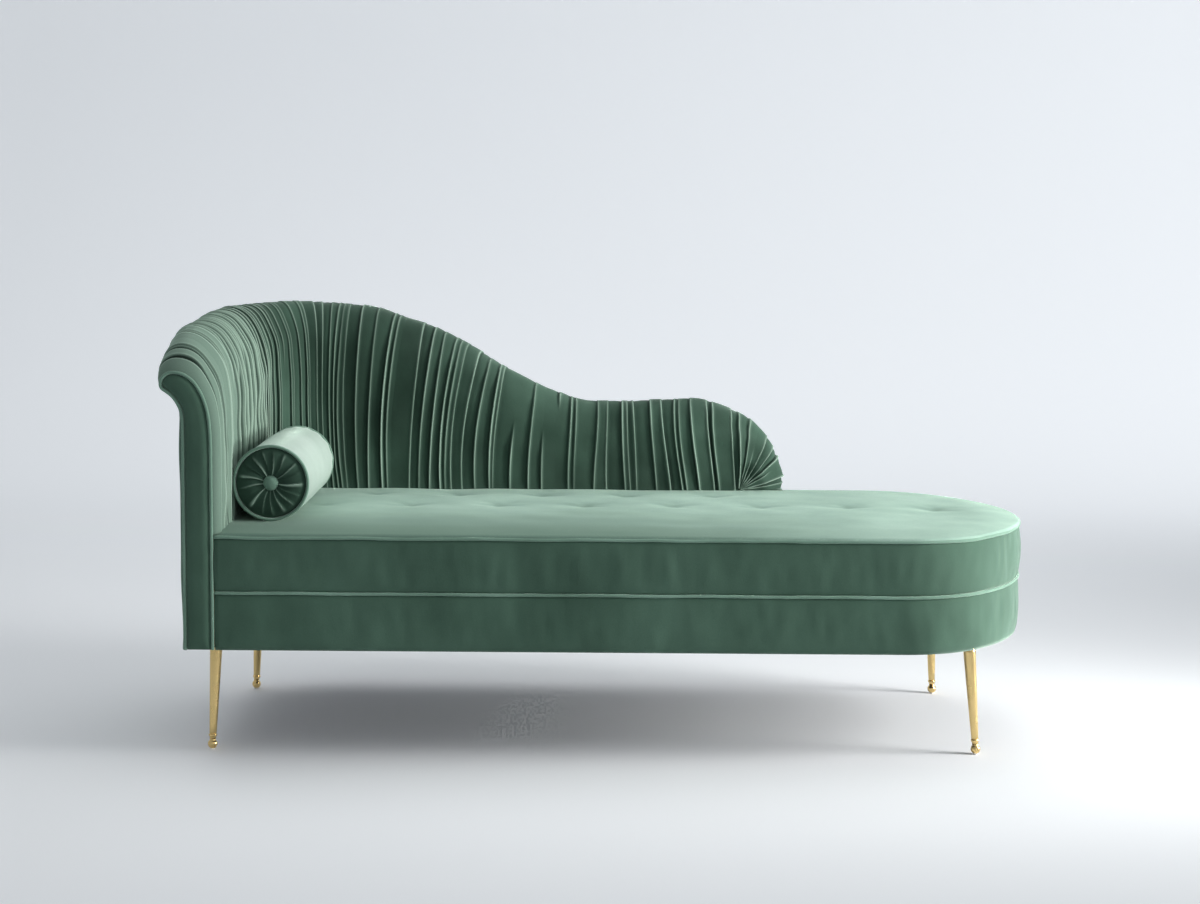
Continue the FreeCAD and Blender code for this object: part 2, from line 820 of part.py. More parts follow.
keep(corner_block())
keep(cross_rails())
keep(strip(
    "wall_sole", wall_path, S.board_outer, S.sole_inner, S.front_face + thick, S.wall_end, S.rail_top, S.deck_top
))

# Laths and ribs of the wall

laths = [
    strip("lower_lath", wall_path, S.board_outer, S.board_outer + S.lath_thickness, post_rear, S.wall_end,
          S.lath_low, S.lath_low + S.lath_height),
    strip("upper_lath", wall_path, S.board_outer, S.board_outer + S.lath_thickness, post_rear, S.fan_pivot,
          S.lath_high, S.lath_high + S.lath_height),
    strip("tack_lath", wall_path, S.board_inner - S.lath_thickness, S.board_inner, post_rear, S.fan_pivot,
          S.tack_low, S.tack_low + S.lath_height),
]
for lath in laths:
    keep(lath)
notches = group("notches", laths)


def ruled(distance, quantity):
    """The quantity at this distance, in a straight line between the stations on either side."""
    after = next(station for station in STATIONS if station > distance)
    before = STATIONS[STATIONS.index(after) - 1]
    part = (distance - before) / (after - before)
    return quantity(before) * (1 - part) + quantity(after) * part


def rib_blank(label, distance, foot):
    """Board cut to the scroll, square to the wall, its edges bevelled to follow the crest."""
    half = S.board_thickness.value / 2
    rings = []
    for offset in (-half, half):
        station = Station(distance)
        station.crest = ruled(distance + offset, lambda place: smooth(CREST, place))
        station.share = ruled(distance + offset, overhang)
        station.base += station.along * offset
        rings.append(ring(station, board_run(station, foot.value)))
    return free_shape(label, faceted(rings))


def on_back(x):
    """Distance along the wall of a place on the back."""
    return back_start + x - corner_x.value


RIBS = {
    "rib_arm_middle": 270,
    "rib_corner_left": arm_length + 0.1 * corner_length,
    "rib_corner_middle": arm_length + 0.5 * corner_length,
    "rib_corner_right": arm_length + 0.9 * corner_length,
    "rib_back_1": on_back(-380),
    "rib_back_2": on_back(-190),
    "rib_back_3": on_back(0),
    "rib_back_4": on_back(150),
    "rib_back_end": on_back(S.fan_pivot.value - S.board_thickness.value / 2),
}
post_middle = (post_rear - S.board_thickness / 2 - S.front_face).value
front_post = rib_blank("front_post", post_middle, S.frame_bottom)
keep(front_post)
for label, distance in RIBS.items():
    keep(cut(label, rib_blank(f"{label}_blank", distance, S.deck_top), notches))

end_board = block(
    "end_board_blank", S.wall_end - S.board_thickness, S.wall_end, S.back_face - S.board_inner,
    S.back_face - S.board_outer, S.deck_top, S.seat_top,
)
keep(cut("end_board", end_board, notches))


def end_block():
    """Shaped block that the low end of the back turns down over."""
    stations = [Station(fan_start)] + [Station(fan_start, lean, reach) for lean, reach in FAN[1:]]
    rings = [ring(station, board_run(station, S.pad_foot.value)) for station in stations]
    return free_shape("end_block", faceted(rings))


def wall_skin(label, stations, foot, outside, inside, count=5):
    """Layer along the wall between two contours, each given as (board, shift)."""
    rings = []
    for station in stations:
        outer = inner_run(station, foot, *outside, count)
        inner = inner_run(station, foot, *inside, count)
        rings.append(layer_ring(station, outer, inner))
    return free_shape(label, faceted(rings))


def outside_skin(label, outer, inner, outside, inside, low):
    """Layer of the wall's outer face: the hollow under the roll, the upright face and the panel at its end."""

    def section(station, foot):
        return layer_ring(station, outer_run(station, foot, *outside), outer_run(station, foot, *inside))

    level = S.pad_foot.value
    upright = [station for station in wall_stations() if not station.lean]
    leaning = [station for station in wall_stations() if station.lean]
    main = faceted([section(station, low.value) for station in upright])
    end = faceted([section(upright[-1], level)] + [section(station, level) for station in leaning])
    corner = V(upright[-1].base.x, (S.back_face - inner).value, low.value)
    width = S.wall_end.value - corner.x
    panel = Part.makeBox(width, (inner - outer).value, level - low.value, corner)
    return free_shape(label, main.fuse([end, panel]).removeSplitter().Solids[0])


cloth, gap = S.cloth.value, S.clearance.value
liner = S.liner_inner.value - S.board_inner.value
liner_gap = S.liner_gap.value
upright = [station for station in wall_stations() if not station.lean]
keep(end_block())
keep(wall_skin("back_liner", upright, S.felt_low.value, (True, liner), (True, liner_gap), 3))
keep(wall_skin("back_padding", wall_stations(), S.pad_foot.value, (False, -cloth - gap), (True, liner + liner_gap)))
keep(wall_skin("ruched_cover", wall_stations(), S.pad_foot.value, (False, 0.0), (False, -cloth)))
keep(outside_skin(
    "outside_wadding", S.cloth + S.clearance, S.board_outer - S.wadding_gap, (False, -cloth - gap),
    (True, S.wadding_gap.value), S.frame_bottom,
))
keep(outside_skin("outside_cover", as_size(0), S.cloth, (False, 0.0), (False, -cloth), S.base_bottom))


def arm_facing():
    """Board that closes the front of the arm, cut to the scroll."""
    station = Station((S.facing_front - S.front_face).value)
    face = flat_face(ring(station, board_run(station, S.frame_bottom.value)))
    return free_shape("arm_facing", face.extrude(V(0, S.facing_thickness.value, 0)))


def cord(path, level, closed=False):
    """Cord with flat sides along a path that lies square to the given direction."""
    count = len(path)
    rings = []
    for index, point in enumerate(path):
        before = point - path[index - 1] if index or closed else path[1] - point
        after = path[(index + 1) % count] - point if index < count - 1 or closed else before
        across = (before.normalize() + after.normalize()).cross(level)
        across.normalize()
        section = []
        for side in range(CORD_SIDES):
            angle = 2 * math.pi * side / CORD_SIDES
            section.append(point + (across * math.cos(angle) + level * math.sin(angle)) * S.welt_radius.value)
        rings.append(section)
    return faceted(rings, closed)


def facing_welt():
    """Piping round the facing, from its foot at the seat over the scroll to its foot outside."""
    station = Station((S.facing_front - S.front_face).value)
    station.base.y += S.welt_radius.value - S.cloth.value
    shift = S.welt_radius.value + S.clearance.value / 2
    path = ring(station, board_run(station, S.frame_bottom.value, shift))
    return free_shape("arm_facing_welt", cord(path, V(0, 1, 0)))


keep(arm_facing())
keep(facing_welt())

# Seat

seat_left = S.arm_face + S.seat_edge


def piping(label, level):
    """Welt that follows the seat's outline at the given height."""
    body = new_body(label)
    spine = new_sketch(body, "XY_Plane", level)
    arch_path(spine, S.welt_inset, seat_left, S.wall_end + 1)
    section = new_sketch(body, "YZ_Plane", seat_left)
    corners = []
    for side in range(CORD_SIDES):
        angle = 2 * math.pi * side / CORD_SIDES
        corners.append((
            S.front_face + S.welt_inset + S.welt_radius * math.cos(angle), level + S.welt_radius * math.sin(angle),
        ))
    polygon(section, corners)
    doc.recompute()
    feature = body.newObject("PartDesign::AdditivePipe", f"{label}_pipe")
    feature.Profile = section
    feature.Spine = spine
    return body


def webbing():
    """Straps from the front rail to the wall's sole, and straps along the seat over them."""
    level = S.deck_top
    cross = []
    for number in range(11):
        left = S.cross_strap_first + S.cross_strap_pitch * number
        rear = S.back_face - S.sole_inner + S.bent_tail / 5
        beyond = left.value > S.wall_end.value
        if beyond:
            rear = S.back_face - S.bent_thickness
        front = S.front_face + (S.bent_thickness if beyond else S.rail_thickness)
        cross.append(block(f"cross_strap_{number + 1}", left, left + S.strap_width, front, rear, level,
                           level + S.strap_thickness))
    level += S.strap_thickness + S.clearance
    along = []
    rows = [(S.long_strap_outer, S.long_strap_short), (S.long_strap_inner, S.long_strap_long)]
    for offset, right in rows:
        for side, middle in (("front", mid_y - offset), ("rear", mid_y + offset)):
            half = S.strap_width / 2
            along.append(block(f"long_strap_{side}_{int(offset.value)}", seat_left, right, middle - half,
                               middle + half, level, level + S.strap_thickness))
    return group("cross_webbing", cross), group("long_webbing", along)


def tuft_ties():
    """Twines that pull the two rows of blind tufts down through the foam."""
    ties = []
    rows = [("front", S.tuft_front_row, 8, 0.0), ("rear", S.tuft_rear_row, 5, 0.5)]
    for name, y, count, offset in rows:
        for number in range(count):
            height = S.seat_top - S.cloth * 2 - S.felt_high
            tie = prism(f"tie_{name}_{number + 1}", CORD_SIDES, S.tie_radius, height)
            x = S.tuft_first + S.tuft_pitch * (number + offset)
            tie.setExpression("Placement.Base.x", x.formula)
            tie.setExpression("Placement.Base.y", y.formula)
            tie.setExpression("Placement.Base.z", (S.felt_high + S.clearance).formula)
            ties.append(tie)
    return group("tuft_ties", ties)


def seat_top_panel():
    """Top cloth of the seat: a shallow tray turned down to the welt, with a bevelled upper edge."""
    low = S.top_welt + S.welt_radius + S.clearance
    body = deck_layer("seat_top_panel", as_size(1), low, S.seat_top)
    doc.recompute()
    body.newObject("PartDesign::Chamfer", "seat_top_edge")
    edge = body.Tip
    edge.Base = (body.Group[1], top_edges(body.Group[1], S.seat_top.value))
    edge.setExpression("Size", (S.cloth * 2).formula)
    sketch = new_sketch(body, "XY_Plane", low)
    inner = S.seat_edge + S.cloth + 1
    deck_outline(sketch, S.cloth + 1, S.arm_face + inner, S.back_face - inner, S.wall_corner - inner,
                 S.wall_end + S.cloth + 2)
    pocket(body, sketch, S.seat_top - S.cloth - low, upwards=True)
    return body


cross, along = webbing()
keep(cross)
keep(along)
keep(deck_layer("seat_felt", S.frame_inset, S.felt_low, S.felt_high))
ties = tuft_ties()
keep(ties)
foam_top = S.seat_top - S.cloth - S.clearance
foam_blank = deck_layer("seat_foam_blank", S.foam_inset, S.felt_high + S.clearance, foam_top)
keep(cut("seat_foam", foam_blank, ties))
keep(seat_top_panel())
band_end = S.wall_end + 1
keep(strip(
    "seat_boxing", arch_path, as_size(0), S.cloth, seat_left, band_end,
    S.lower_welt + S.welt_radius + S.clearance / 2, S.top_welt - S.welt_radius - S.clearance / 2,
))
keep(strip(
    "base_band", arch_path, as_size(0), S.cloth, seat_left, band_end, S.base_bottom,
    S.lower_welt - S.welt_radius - S.clearance / 2,
))
keep(strip(
    "base_padding", arch_path, S.cloth + S.clearance, S.frame_inset - S.clearance, seat_left, band_end,
    S.frame_bottom, S.rail_top,
))
keep(piping("lower_welt", S.lower_welt))
keep(piping("top_welt", S.top_welt))


def dust_cover():
    """Thin cloth under the whole frame, pierced for the leg studs."""
    body = new_body("dust_cover_blank")
    margin = S.cloth * 3
    sketch = new_sketch(body, "XY_Plane", S.frame_bottom - S.cloth + S.clearance / 2)
    deck_outline(sketch, margin, S.arm_face + margin, S.back_face - margin, S.wall_corner - margin)
    pad(body, sketch, S.cloth / 2)
    return cut("dust_cover", body, drillings)


keep(dust_cover())

# Bolster: turned pieces about an axis along Y


def lay_down(piece):
    """Turn a piece's own Z axis to Y and set it on the bolster's axis."""
    height = S.seat_top + S.bolster_gap + S.bolster_radius
    piece.Placement = FreeCAD.Placement(
        V(S.bolster_x.value, 0, height.value), FreeCAD.Rotation(V(1, 0, 0), -90)
    )
    return piece


def tube(label, inner, outer, low, high):
    return lay_down(turned(label, [(inner, low), (outer, low), (outer, high), (inner, high)], WIDE_SIDES))


def bolster_end(side, plane, outwards):
    """Cap, welt and covered button at one end."""
    rim = plane + S.clearance * outwards
    cap = turned(f"bolster_cap_{side}", [
        (0, rim + S.cap_dish * outwards), (S.cap_radius, rim), (S.cap_radius, rim + S.cap_dish * outwards),
        (0, rim + S.cap_dish * (2 * outwards)),
    ], WIDE_SIDES)
    back = rim + (S.cap_dish * 2 + S.clearance) * outwards
    button = turned(f"bolster_button_{side}", [
        (0, back), (S.button_radius, back), (S.button_radius, back + S.button_height * (0.3 * outwards)),
        (S.button_radius * 0.85, back + S.button_height * (0.7 * outwards)),
        (S.button_radius * 0.5, back + S.button_height * (0.93 * outwards)),
        (0, back + S.button_height * outwards),
    ], LEG_SIDES)
    middle = S.bolster_radius - S.welt_radius
    centre = plane + (S.welt_radius + S.clearance) * outwards
    profile = []
    for corner in range(CORD_SIDES):
        angle = 2 * math.pi * corner / CORD_SIDES
        profile.append((middle + S.welt_radius * math.cos(angle), centre + S.welt_radius * math.sin(angle)))
    welt = turned(f"bolster_welt_{side}", profile, WIDE_SIDES)
    return lay_down(cap), lay_down(button), lay_down(welt)


keep(tube("bolster_filling", 0, S.bolster_radius - S.cloth - S.clearance, S.bolster_front, S.bolster_rear))
keep(tube("bolster_sleeve", S.bolster_radius - S.cloth, S.bolster_radius, S.bolster_front, S.bolster_rear))
buttons, welts = [], []
for side, plane, outwards in (("front", S.bolster_front, -1), ("rear", S.bolster_rear, 1)):
    cap, button, welt = bolster_end(side, plane, outwards)
    keep(cap)
    buttons.append(button)
    welts.append(welt)
keep(group("bolster_buttons", buttons))
keep(group("bolster_welts", welts))

doc.recompute()

# Check every piece, then write it

problems = []
for item in doc.Objects:
    if "Invalid" in item.State or "Error" in item.State:
        problems.append(f"{item.Label}: {item.State}")
for node in NODES:
    if node.Shape.isNull() or not node.Shape.isValid():
        problems.append(f"{node.Label}: shape not valid")
if problems:
    raise RuntimeError("; ".join(problems))

os.makedirs("parts", exist_ok=True)
for node in NODES:
    node.Shape.exportStep(f"parts/{node.Label}.step")
print(f"{len(NODES)} nodes written")
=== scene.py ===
import json
import math

import bmesh
import bpy
import numpy as np
from mathutils import Matrix, Vector
from mathutils.geometry import delaunay_2d_cdt

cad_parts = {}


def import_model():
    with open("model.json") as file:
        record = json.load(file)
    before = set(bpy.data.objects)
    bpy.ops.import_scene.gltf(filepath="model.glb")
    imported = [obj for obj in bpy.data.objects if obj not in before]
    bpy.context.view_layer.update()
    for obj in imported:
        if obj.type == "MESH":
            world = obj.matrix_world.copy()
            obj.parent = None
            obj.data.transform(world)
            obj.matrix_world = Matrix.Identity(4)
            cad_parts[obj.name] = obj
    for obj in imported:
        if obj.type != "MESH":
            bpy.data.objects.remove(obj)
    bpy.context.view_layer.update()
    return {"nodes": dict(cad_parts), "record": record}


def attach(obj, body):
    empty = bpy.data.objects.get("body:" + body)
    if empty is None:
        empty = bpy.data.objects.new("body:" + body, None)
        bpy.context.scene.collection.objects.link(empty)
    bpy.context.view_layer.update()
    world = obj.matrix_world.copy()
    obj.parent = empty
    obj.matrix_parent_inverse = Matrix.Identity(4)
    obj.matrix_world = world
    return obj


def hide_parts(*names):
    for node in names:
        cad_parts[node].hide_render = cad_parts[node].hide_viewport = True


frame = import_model()

MM = 0.001
TAU = math.tau
UP, FORWARD = np.array([0.0, 0.0, 1.0]), np.array([0, 1.0, 0])

# The CAD model's own sizes, in millimetres
ARM_FACE, FRONT_FACE, BACK_FACE = -796.0, -384.5, 347.5
STRAIGHT_END, ROUND_REACH, CORNER_ROUND = 561.0, 276.0, 215.0
HALF_WIDTH = (BACK_FACE - FRONT_FACE) / 2
MID_Y = (FRONT_FACE + BACK_FACE) / 2
CORNER_OFFSET = HALF_WIDTH - CORNER_ROUND
END_ROUND = (
    (ROUND_REACH**2 + HALF_WIDTH**2 - 2 * HALF_WIDTH * CORNER_ROUND) / (2 * (ROUND_REACH - CORNER_ROUND))
)
END_CENTRE_X = STRAIGHT_END + ROUND_REACH - END_ROUND
JOIN_ANGLE = math.asin(CORNER_OFFSET / (END_ROUND - CORNER_ROUND))
BASE_BOTTOM, LOWER_WELT, TOP_WELT, SEAT_TOP = 213.0, 322.0, 427.0, 440.0
WELT_RADIUS, WELT_INSET = 3.0, 1.5
SEAT_EDGE, PAD_INNER, PAD_FOOT = 63.0, 76.0, 441.0
WALL_CORNER, WALL_END, FAN_PIVOT, FAN_FOOT = 210.0, 388.0, 291.0, 4.0
BOARD_INNER, BOARD_OUTER = 56.0, 11.0
FACING_FRONT, FACING_BACK = -386.5, -378.5
WALL_FRONT = 2.5
CREST = [
    (0, 748), (45, 776), (110, 797), (220, 812), (500, 830), (774, 843), (904, 836), (1007, 809),
    (1099, 774), (1208, 712), (1317, 656), (1407, 631), (1535, 634), (1622, 637), (1688, 626), (1729, 609),
]
FAN = [(0, 168), (18, 143), (36, 125), (54, 111), (72, 103), (90, 97)]
RISES = [(420.0, 10.0), (160.0, 25.0), (62.0, 55.0)]
ROLL_REACH, ROLL_RADIUS, ROLL_TIGHTEN = 41.0, 38.0, 4.7
NOSE_RADIUS, HOLLOW_RADIUS = 20.0, 60.0
BOARD_DROP, BOARD_TIP, BOARD_ROLL, BOARD_NOSE = 16.0, 12.0, 14.0, 8.0
BOLSTER_X, BOLSTER_Y, BOLSTER_Z = -645.0, -63.0, 514.4
BOLSTER_RADIUS, BOLSTER_FLAT, BOLSTER_WELT, BOLSTER_RIM = 74.0, 73.9, 71.0, 67.6
BOLSTER_ENDS = (("front", -252.0, -1), ("rear", 125.0, 1))
TUFT_START, TUFT_STEP, FRONT_TUFTS, REAR_TUFTS = -577.0, 179.0, 1.5, 171.5
TUFTS = [(TUFT_START + TUFT_STEP * i, FRONT_TUFTS) for i in range(8)]
TUFTS += [(TUFT_START + TUFT_STEP * (i + 0.5), REAR_TUFTS) for i in range(5)]

ARM_LENGTH = BACK_FACE - WALL_CORNER - FRONT_FACE
BACK_START = ARM_LENGTH + WALL_CORNER * math.pi / 2
FAN_START = BACK_START + FAN_PIVOT - ARM_FACE - WALL_CORNER
FAN_STEP = 1.9
WALL_LENGTH = FAN_START + 90 * FAN_STEP
ROUND_CENTRE = (ARM_FACE + WALL_CORNER, BACK_FACE - WALL_CORNER)


# Numbers


def waves(seed, scale, *fields, count=12):
    """Smooth, repeatable variation between about -1 and 1, its features about scale apart."""
    rng = np.random.default_rng(seed)
    total = 0.0
    for _ in range(count):
        direction = rng.normal(size=len(fields))
        direction /= np.linalg.norm(direction)
        length = scale * rng.uniform(0.7, 1.8)
        phase = rng.uniform(0, TAU)
        total = total + np.sin(phase + TAU / length * sum(d * f for d, f in zip(direction, fields)))
    return total / math.sqrt(count)


def ease(value, start, end):
    """Smooth step from 0 at start to 1 at end."""
    part = np.clip((value - start) / (end - start), 0, 1)
    return part * part * (3 - 2 * part)


def unit(vectors):
    return vectors / np.maximum(np.linalg.norm(vectors, axis=-1, keepdims=True), 1e-9)


def around(count):
    """Equal steps of angle round a circle."""
    return TAU * np.arange(count) / count


def lengths_along(line):
    """Distance along a line to each of its points."""
    return np.concatenate([[0], np.cumsum(np.linalg.norm(np.diff(line, axis=0), axis=1))])


def smooth_knots(knots, place):
    """Piecewise cubic through the knots, flat where they turn."""
    if place <= knots[0][0]:
        return float(knots[0][1])
    if place >= knots[-1][0]:
        return float(knots[-1][1])
    slopes = [(after[1] - before[1]) / (after[0] - before[0]) for before, after in zip(knots, knots[1:])]
    index = max(i for i in range(len(slopes)) if knots[i][0] <= place)

    def tangent(knot):
        if knot in (0, len(knots) - 1):
            return slopes[min(knot, len(slopes) - 1)]
        left, right = slopes[knot - 1], slopes[knot]
        return 2 * left * right / (left + right) if left * right > 0 else 0.0

    width = knots[index + 1][0] - knots[index][0]
    part = (place - knots[index][0]) / width
    start, end = knots[index][1], knots[index + 1][1]
    first, last = tangent(index) * width, tangent(index + 1) * width
    rise = ease(part, 0, 1)
    return start + (end - start) * rise + first * part * (1 - part) ** 2 - last * part * part * (1 - part)


def resample(points, count):
    """The polyline at equal distances along it."""
    points = np.asarray(points, float)
    along = lengths_along(points)
    places = np.linspace(0, along[-1], count)
    return np.stack([np.interp(places, along, points[:, k]) for k in range(points.shape[1])], axis=1)


# Meshes


def add_object(name, data):
    thing = bpy.data.objects.new(name, data)
    bpy.context.scene.collection.objects.link(thing)
    return thing


def smooth_mesh(name, points, faces):
    """Mesh of the given points in metres, shaded smooth."""
    mesh = bpy.data.meshes.new(name)
    mesh.from_pydata([tuple(point) for point in points], [], faces)
    mesh.polygons.foreach_set("use_smooth", [True] * len(mesh.polygons))
    return mesh


def new_object(name, points, faces, body="chaise"):
    """Piece of the given points in millimetres, riding on a body."""
    piece = add_object(name, smooth_mesh(name, np.asarray(points, float) * MM, faces))
    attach(piece, body)
    return piece


def grid_faces(rows, columns, first=0, wrap=False, closed=False):
    """Quads of a grid stored row by row; wrap joins each row's ends, closed its last row to the first."""
    faces = []
    for row in range(rows if closed else rows - 1):
        here, there = first + row * columns, first + (row + 1) % rows * columns
        for column in range(columns if wrap else columns - 1):
            after = (column + 1) % columns
            faces.append((here + column, here + after, there + after, there + column))
    return faces


def capped_tube(rings, sides, first=0):
    """Faces of a tube of rings, closed at both ends."""
    faces = grid_faces(rings, sides, first, wrap=True)
    faces.append(tuple(range(first, first + sides)))
    faces.append(tuple(reversed(range(first + (rings - 1) * sides, first + rings * sides))))
    return faces


def thicken(piece, thickness):
    """Give an open sheet its thickness, inward from its face."""
    solid = piece.modifiers.new("Thickness", "SOLIDIFY")
    solid.thickness = thickness * MM
    solid.offset = -1
    depsgraph = bpy.context.evaluated_depsgraph_get()
    mesh = bpy.data.meshes.new_from_object(piece.evaluated_get(depsgraph))
    open_sheet = piece.data
    piece.modifiers.clear()
    piece.data = mesh
    bpy.data.meshes.remove(open_sheet)
    mesh.name = piece.name


def rework(piece, change):
    """Change a piece's mesh by a function that works on a bmesh."""
    work = bmesh.new()
    work.from_mesh(piece.data)
    change(work)
    work.to_mesh(piece.data)
    work.free()


def outward(work):
    bmesh.ops.recalc_face_normals(work, faces=work.faces)


def stands_for(piece, slot, *nodes, fill=None):
    """Hide the CAD nodes that a piece replaces; slot and fill are not used."""
    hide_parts(*nodes)
    return piece


def paint(piece, name, values):
    """Keep one number per point, for the material."""
    layer = piece.data.attributes.new(name, "FLOAT", "POINT")
    layer.data.foreach_set("value", np.asarray(values, np.float32))


def piping(name, path, up, node, seed, body="chaise", closed=False):
    """Covered cord along a path, slightly uneven as velvet over cord is."""
    path = np.asarray(path, float)
    rounded = np.roll(path, -1, axis=0) - np.roll(path, 1, axis=0)
    tangent = unit(rounded if closed else np.gradient(path, axis=0))
    side = unit(np.cross(tangent, up))
    lift = np.cross(side, tangent)
    sides = 10
    angles = around(sides)
    thick = WELT_RADIUS * (1 + 0.05 * waves(seed, 23, lengths_along(path)[:, None], 4 * angles))
    ring = np.cos(angles)[:, None] * side[:, None, :] + np.sin(angles)[:, None] * lift[:, None, :]
    points = (path[:, None, :] + ring * thick[..., None]).reshape(-1, 3)
    loop = grid_faces(len(path), sides, wrap=True, closed=True)
    faces = loop if closed else capped_tube(len(path), sides)
    piece = new_object(name, points, faces, body)
    rework(piece, outward)
    return stands_for(piece, "piping", node)


# Plan of the seat


def arch(inset, start, rear_end, step=8.0):
    """Points and outward directions along the seat's outline, from the arm round the end to the back."""
    corner, end = CORNER_ROUND - inset, END_ROUND - inset
    points, normals = [], []

    def straight(x0, x1, y, outward):
        for x in np.linspace(x0, x1, max(2, int(abs(x1 - x0) / step) + 1))[:-1]:
            points.append((x, y))
            normals.append((0, outward))

    def turn(centre, radius, first, last):
        for angle in np.linspace(first, last, int(radius * (last - first) / step) + 1)[:-1]:
            points.append((centre[0] + radius * math.cos(angle), centre[1] + radius * math.sin(angle)))
            normals.append((math.cos(angle), math.sin(angle)))

    straight(start, STRAIGHT_END, FRONT_FACE + inset, -1)
    turn((STRAIGHT_END, MID_Y - CORNER_OFFSET), corner, -math.pi / 2, -JOIN_ANGLE)
    turn((END_CENTRE_X, MID_Y), end, -JOIN_ANGLE, JOIN_ANGLE)
    turn((STRAIGHT_END, MID_Y + CORNER_OFFSET), corner, JOIN_ANGLE, math.pi / 2)
    straight(STRAIGHT_END, rear_end, BACK_FACE - inset, 1)
    points.append((rear_end, BACK_FACE - inset))
    normals.append((0, 1))
    return np.array(points), np.array(normals, float)


def rear_corner(radius, count):
    """Arc round the rear left corner, from the back to the arm."""
    turn = np.linspace(math.pi / 2, math.pi, count)
    return ROUND_CENTRE + radius * np.column_stack([np.cos(turn), np.sin(turn)])


def arch_distance(x, y):
    """Distance inward from the seat's outline."""
    sides = np.minimum(y - FRONT_FACE, BACK_FACE - y)
    above = np.abs(y - MID_Y)
    end = END_ROUND - np.hypot(x - END_CENTRE_X, above)
    corner = CORNER_ROUND - np.hypot(x - STRAIGHT_END, above - CORNER_OFFSET)
    on_end = np.arctan2(above, x - END_CENTRE_X) < JOIN_ANGLE
    return np.where(x < STRAIGHT_END, sides, np.where(on_end, end, corner))


# Section of the arm and back


def overhang(distance):
    """Share of the arm's overhang that the roll still has at this distance along the wall."""
    return 1 - 0.72 * ease(distance, BACK_START - 60, BACK_START + 560)


class Station:
    """One section plane of the wall; past the back's straight part the planes fan out about the pivot."""

    def __init__(self, place):
        lean = max(place - FAN_START, 0) / FAN_STEP
        distance = min(place, FAN_START)
        turn = min(max((distance - ARM_LENGTH) / WALL_CORNER, 0), math.pi / 2)
        self.outward = np.array([-math.cos(turn), math.sin(turn), 0])
        along = np.array([math.sin(turn), math.cos(turn), 0])
        straight = min(distance - ARM_LENGTH, 0) + max(distance - BACK_START, 0)
        self.base = np.array([*ROUND_CENTRE, PAD_FOOT]) + self.outward * WALL_CORNER + along * straight
        angle = math.radians(lean)
        self.rise = np.array([math.sin(angle), 0, math.cos(angle)])
        self.foot = FAN_FOOT if lean else 0.0
        self.share = overhang(distance) * (1 - 0.6 * lean / 90)
        self.crest = PAD_FOOT + smooth_knots(FAN, lean) if lean else smooth_knots(CREST, distance)

    def place(self, line):
        """Points of the section from (across, height) pairs."""
        line = np.asarray(line)
        return self.base + line[:, :1] * self.outward + (line[:, 1:] - PAD_FOOT) * self.rise


def scroll(share, crest, board=False, shift=0.0):
    """Section over the roll as (across, height) points: the inner part, then the hollow under the roll."""
    tip, roll = ROLL_REACH * share, ROLL_RADIUS - ROLL_TIGHTEN * share
    inner, outer, nose, hollow = PAD_INNER, 0.0, NOSE_RADIUS, HOLLOW_RADIUS
    if board:
        inner, outer, crest = BOARD_INNER, -BOARD_OUTER, crest - BOARD_DROP
        tip, roll, nose, hollow = tip - BOARD_TIP, roll - BOARD_ROLL, BOARD_NOSE, hollow + BOARD_OUTER
    ends = np.radians(np.cumsum([0] + [turn for _, turn in RISES]))
    spread = sum(r * (math.cos(a) - math.cos(b)) for (r, _), a, b in zip(RISES, ends, ends[1:]))
    climb = sum(r * (math.sin(b) - math.sin(a)) for (r, _), a, b in zip(RISES, ends, ends[1:]))
    scale = (tip - roll + inner) / spread
    under = math.degrees(math.acos(1 - (tip - outer) / (nose + hollow)))
    turning = [(radius * scale, turn) for radius, turn in RISES]
    turning += [(roll, 90), (nose, under), (-hollow, -under)]
    across, height, heading = -inner - shift, crest - climb * scale, math.pi / 2
    parts = [[(across, height)]]
    for number, (radius, turn) in enumerate(turning):
        radius += shift
        centre_x, centre_z = across + radius * math.sin(heading), height - radius * math.cos(heading)
        if number == len(turning) - 1:
            parts.append([(across, height)])
        steps = max(2, math.ceil(abs(turn) / 4))
        for step in range(1, steps + 1):
            aim = heading - math.radians(turn) * step / steps
            across, height = centre_x - radius * math.sin(aim), centre_z + radius * math.cos(aim)
            parts[-1].append((across, height))
        heading -= math.radians(turn)
    return parts


def wall_table(places, rows, foot, **shape):
    """Points of the inner face and roll: for each place along the wall, rows at equal distances."""
    table = []
    for place in places:
        station = Station(place)
        inner, _ = scroll(station.share, station.crest, **shape)
        start = foot if not station.foot else PAD_FOOT + station.foot
        table.append(station.place(resample([(inner[0][0], start)] + inner, rows)))
    return np.array(table)


def table_normals(table):
    """Directions out of a table of points; its second axis runs from the foot up over the roll."""
    along, up = np.gradient(table, axis=0), np.gradient(table, axis=1)
    return unit(np.cross(along, up))


def look_up(table, places, at):
    """Table values at places along the wall that differ from row to row."""
    index = np.clip(np.searchsorted(places, at) - 1, 0, len(places) - 2)
    part = ((at - places[index]) / (places[index + 1] - places[index]))[..., None]
    rows = np.arange(at.shape[0])[:, None]
    return table[index, rows] * (1 - part) + table[index + 1, rows] * part


def front_shoulder(rim, full, behind_edge):
    """Round a cover's front edge, from the front board's outline out to the full section."""
    part = np.clip(behind_edge / SHOULDER, 0, 1)
    return rim + (full - rim) * np.sqrt(1 - (1 - part) ** 2)[..., None]


# Ruched cover of the arm and back


PLAIN_EDGE = 20.0
COVER_FRONT, SHOULDER, COVER_THICKNESS = 0.4, 16.0, 1.6
RIM = {"board": True, "shift": 1.2}
RUCHED_ROWS, RUCHED_FOOT = 66, 432.0
ARM_FOLDS_END = 520.0
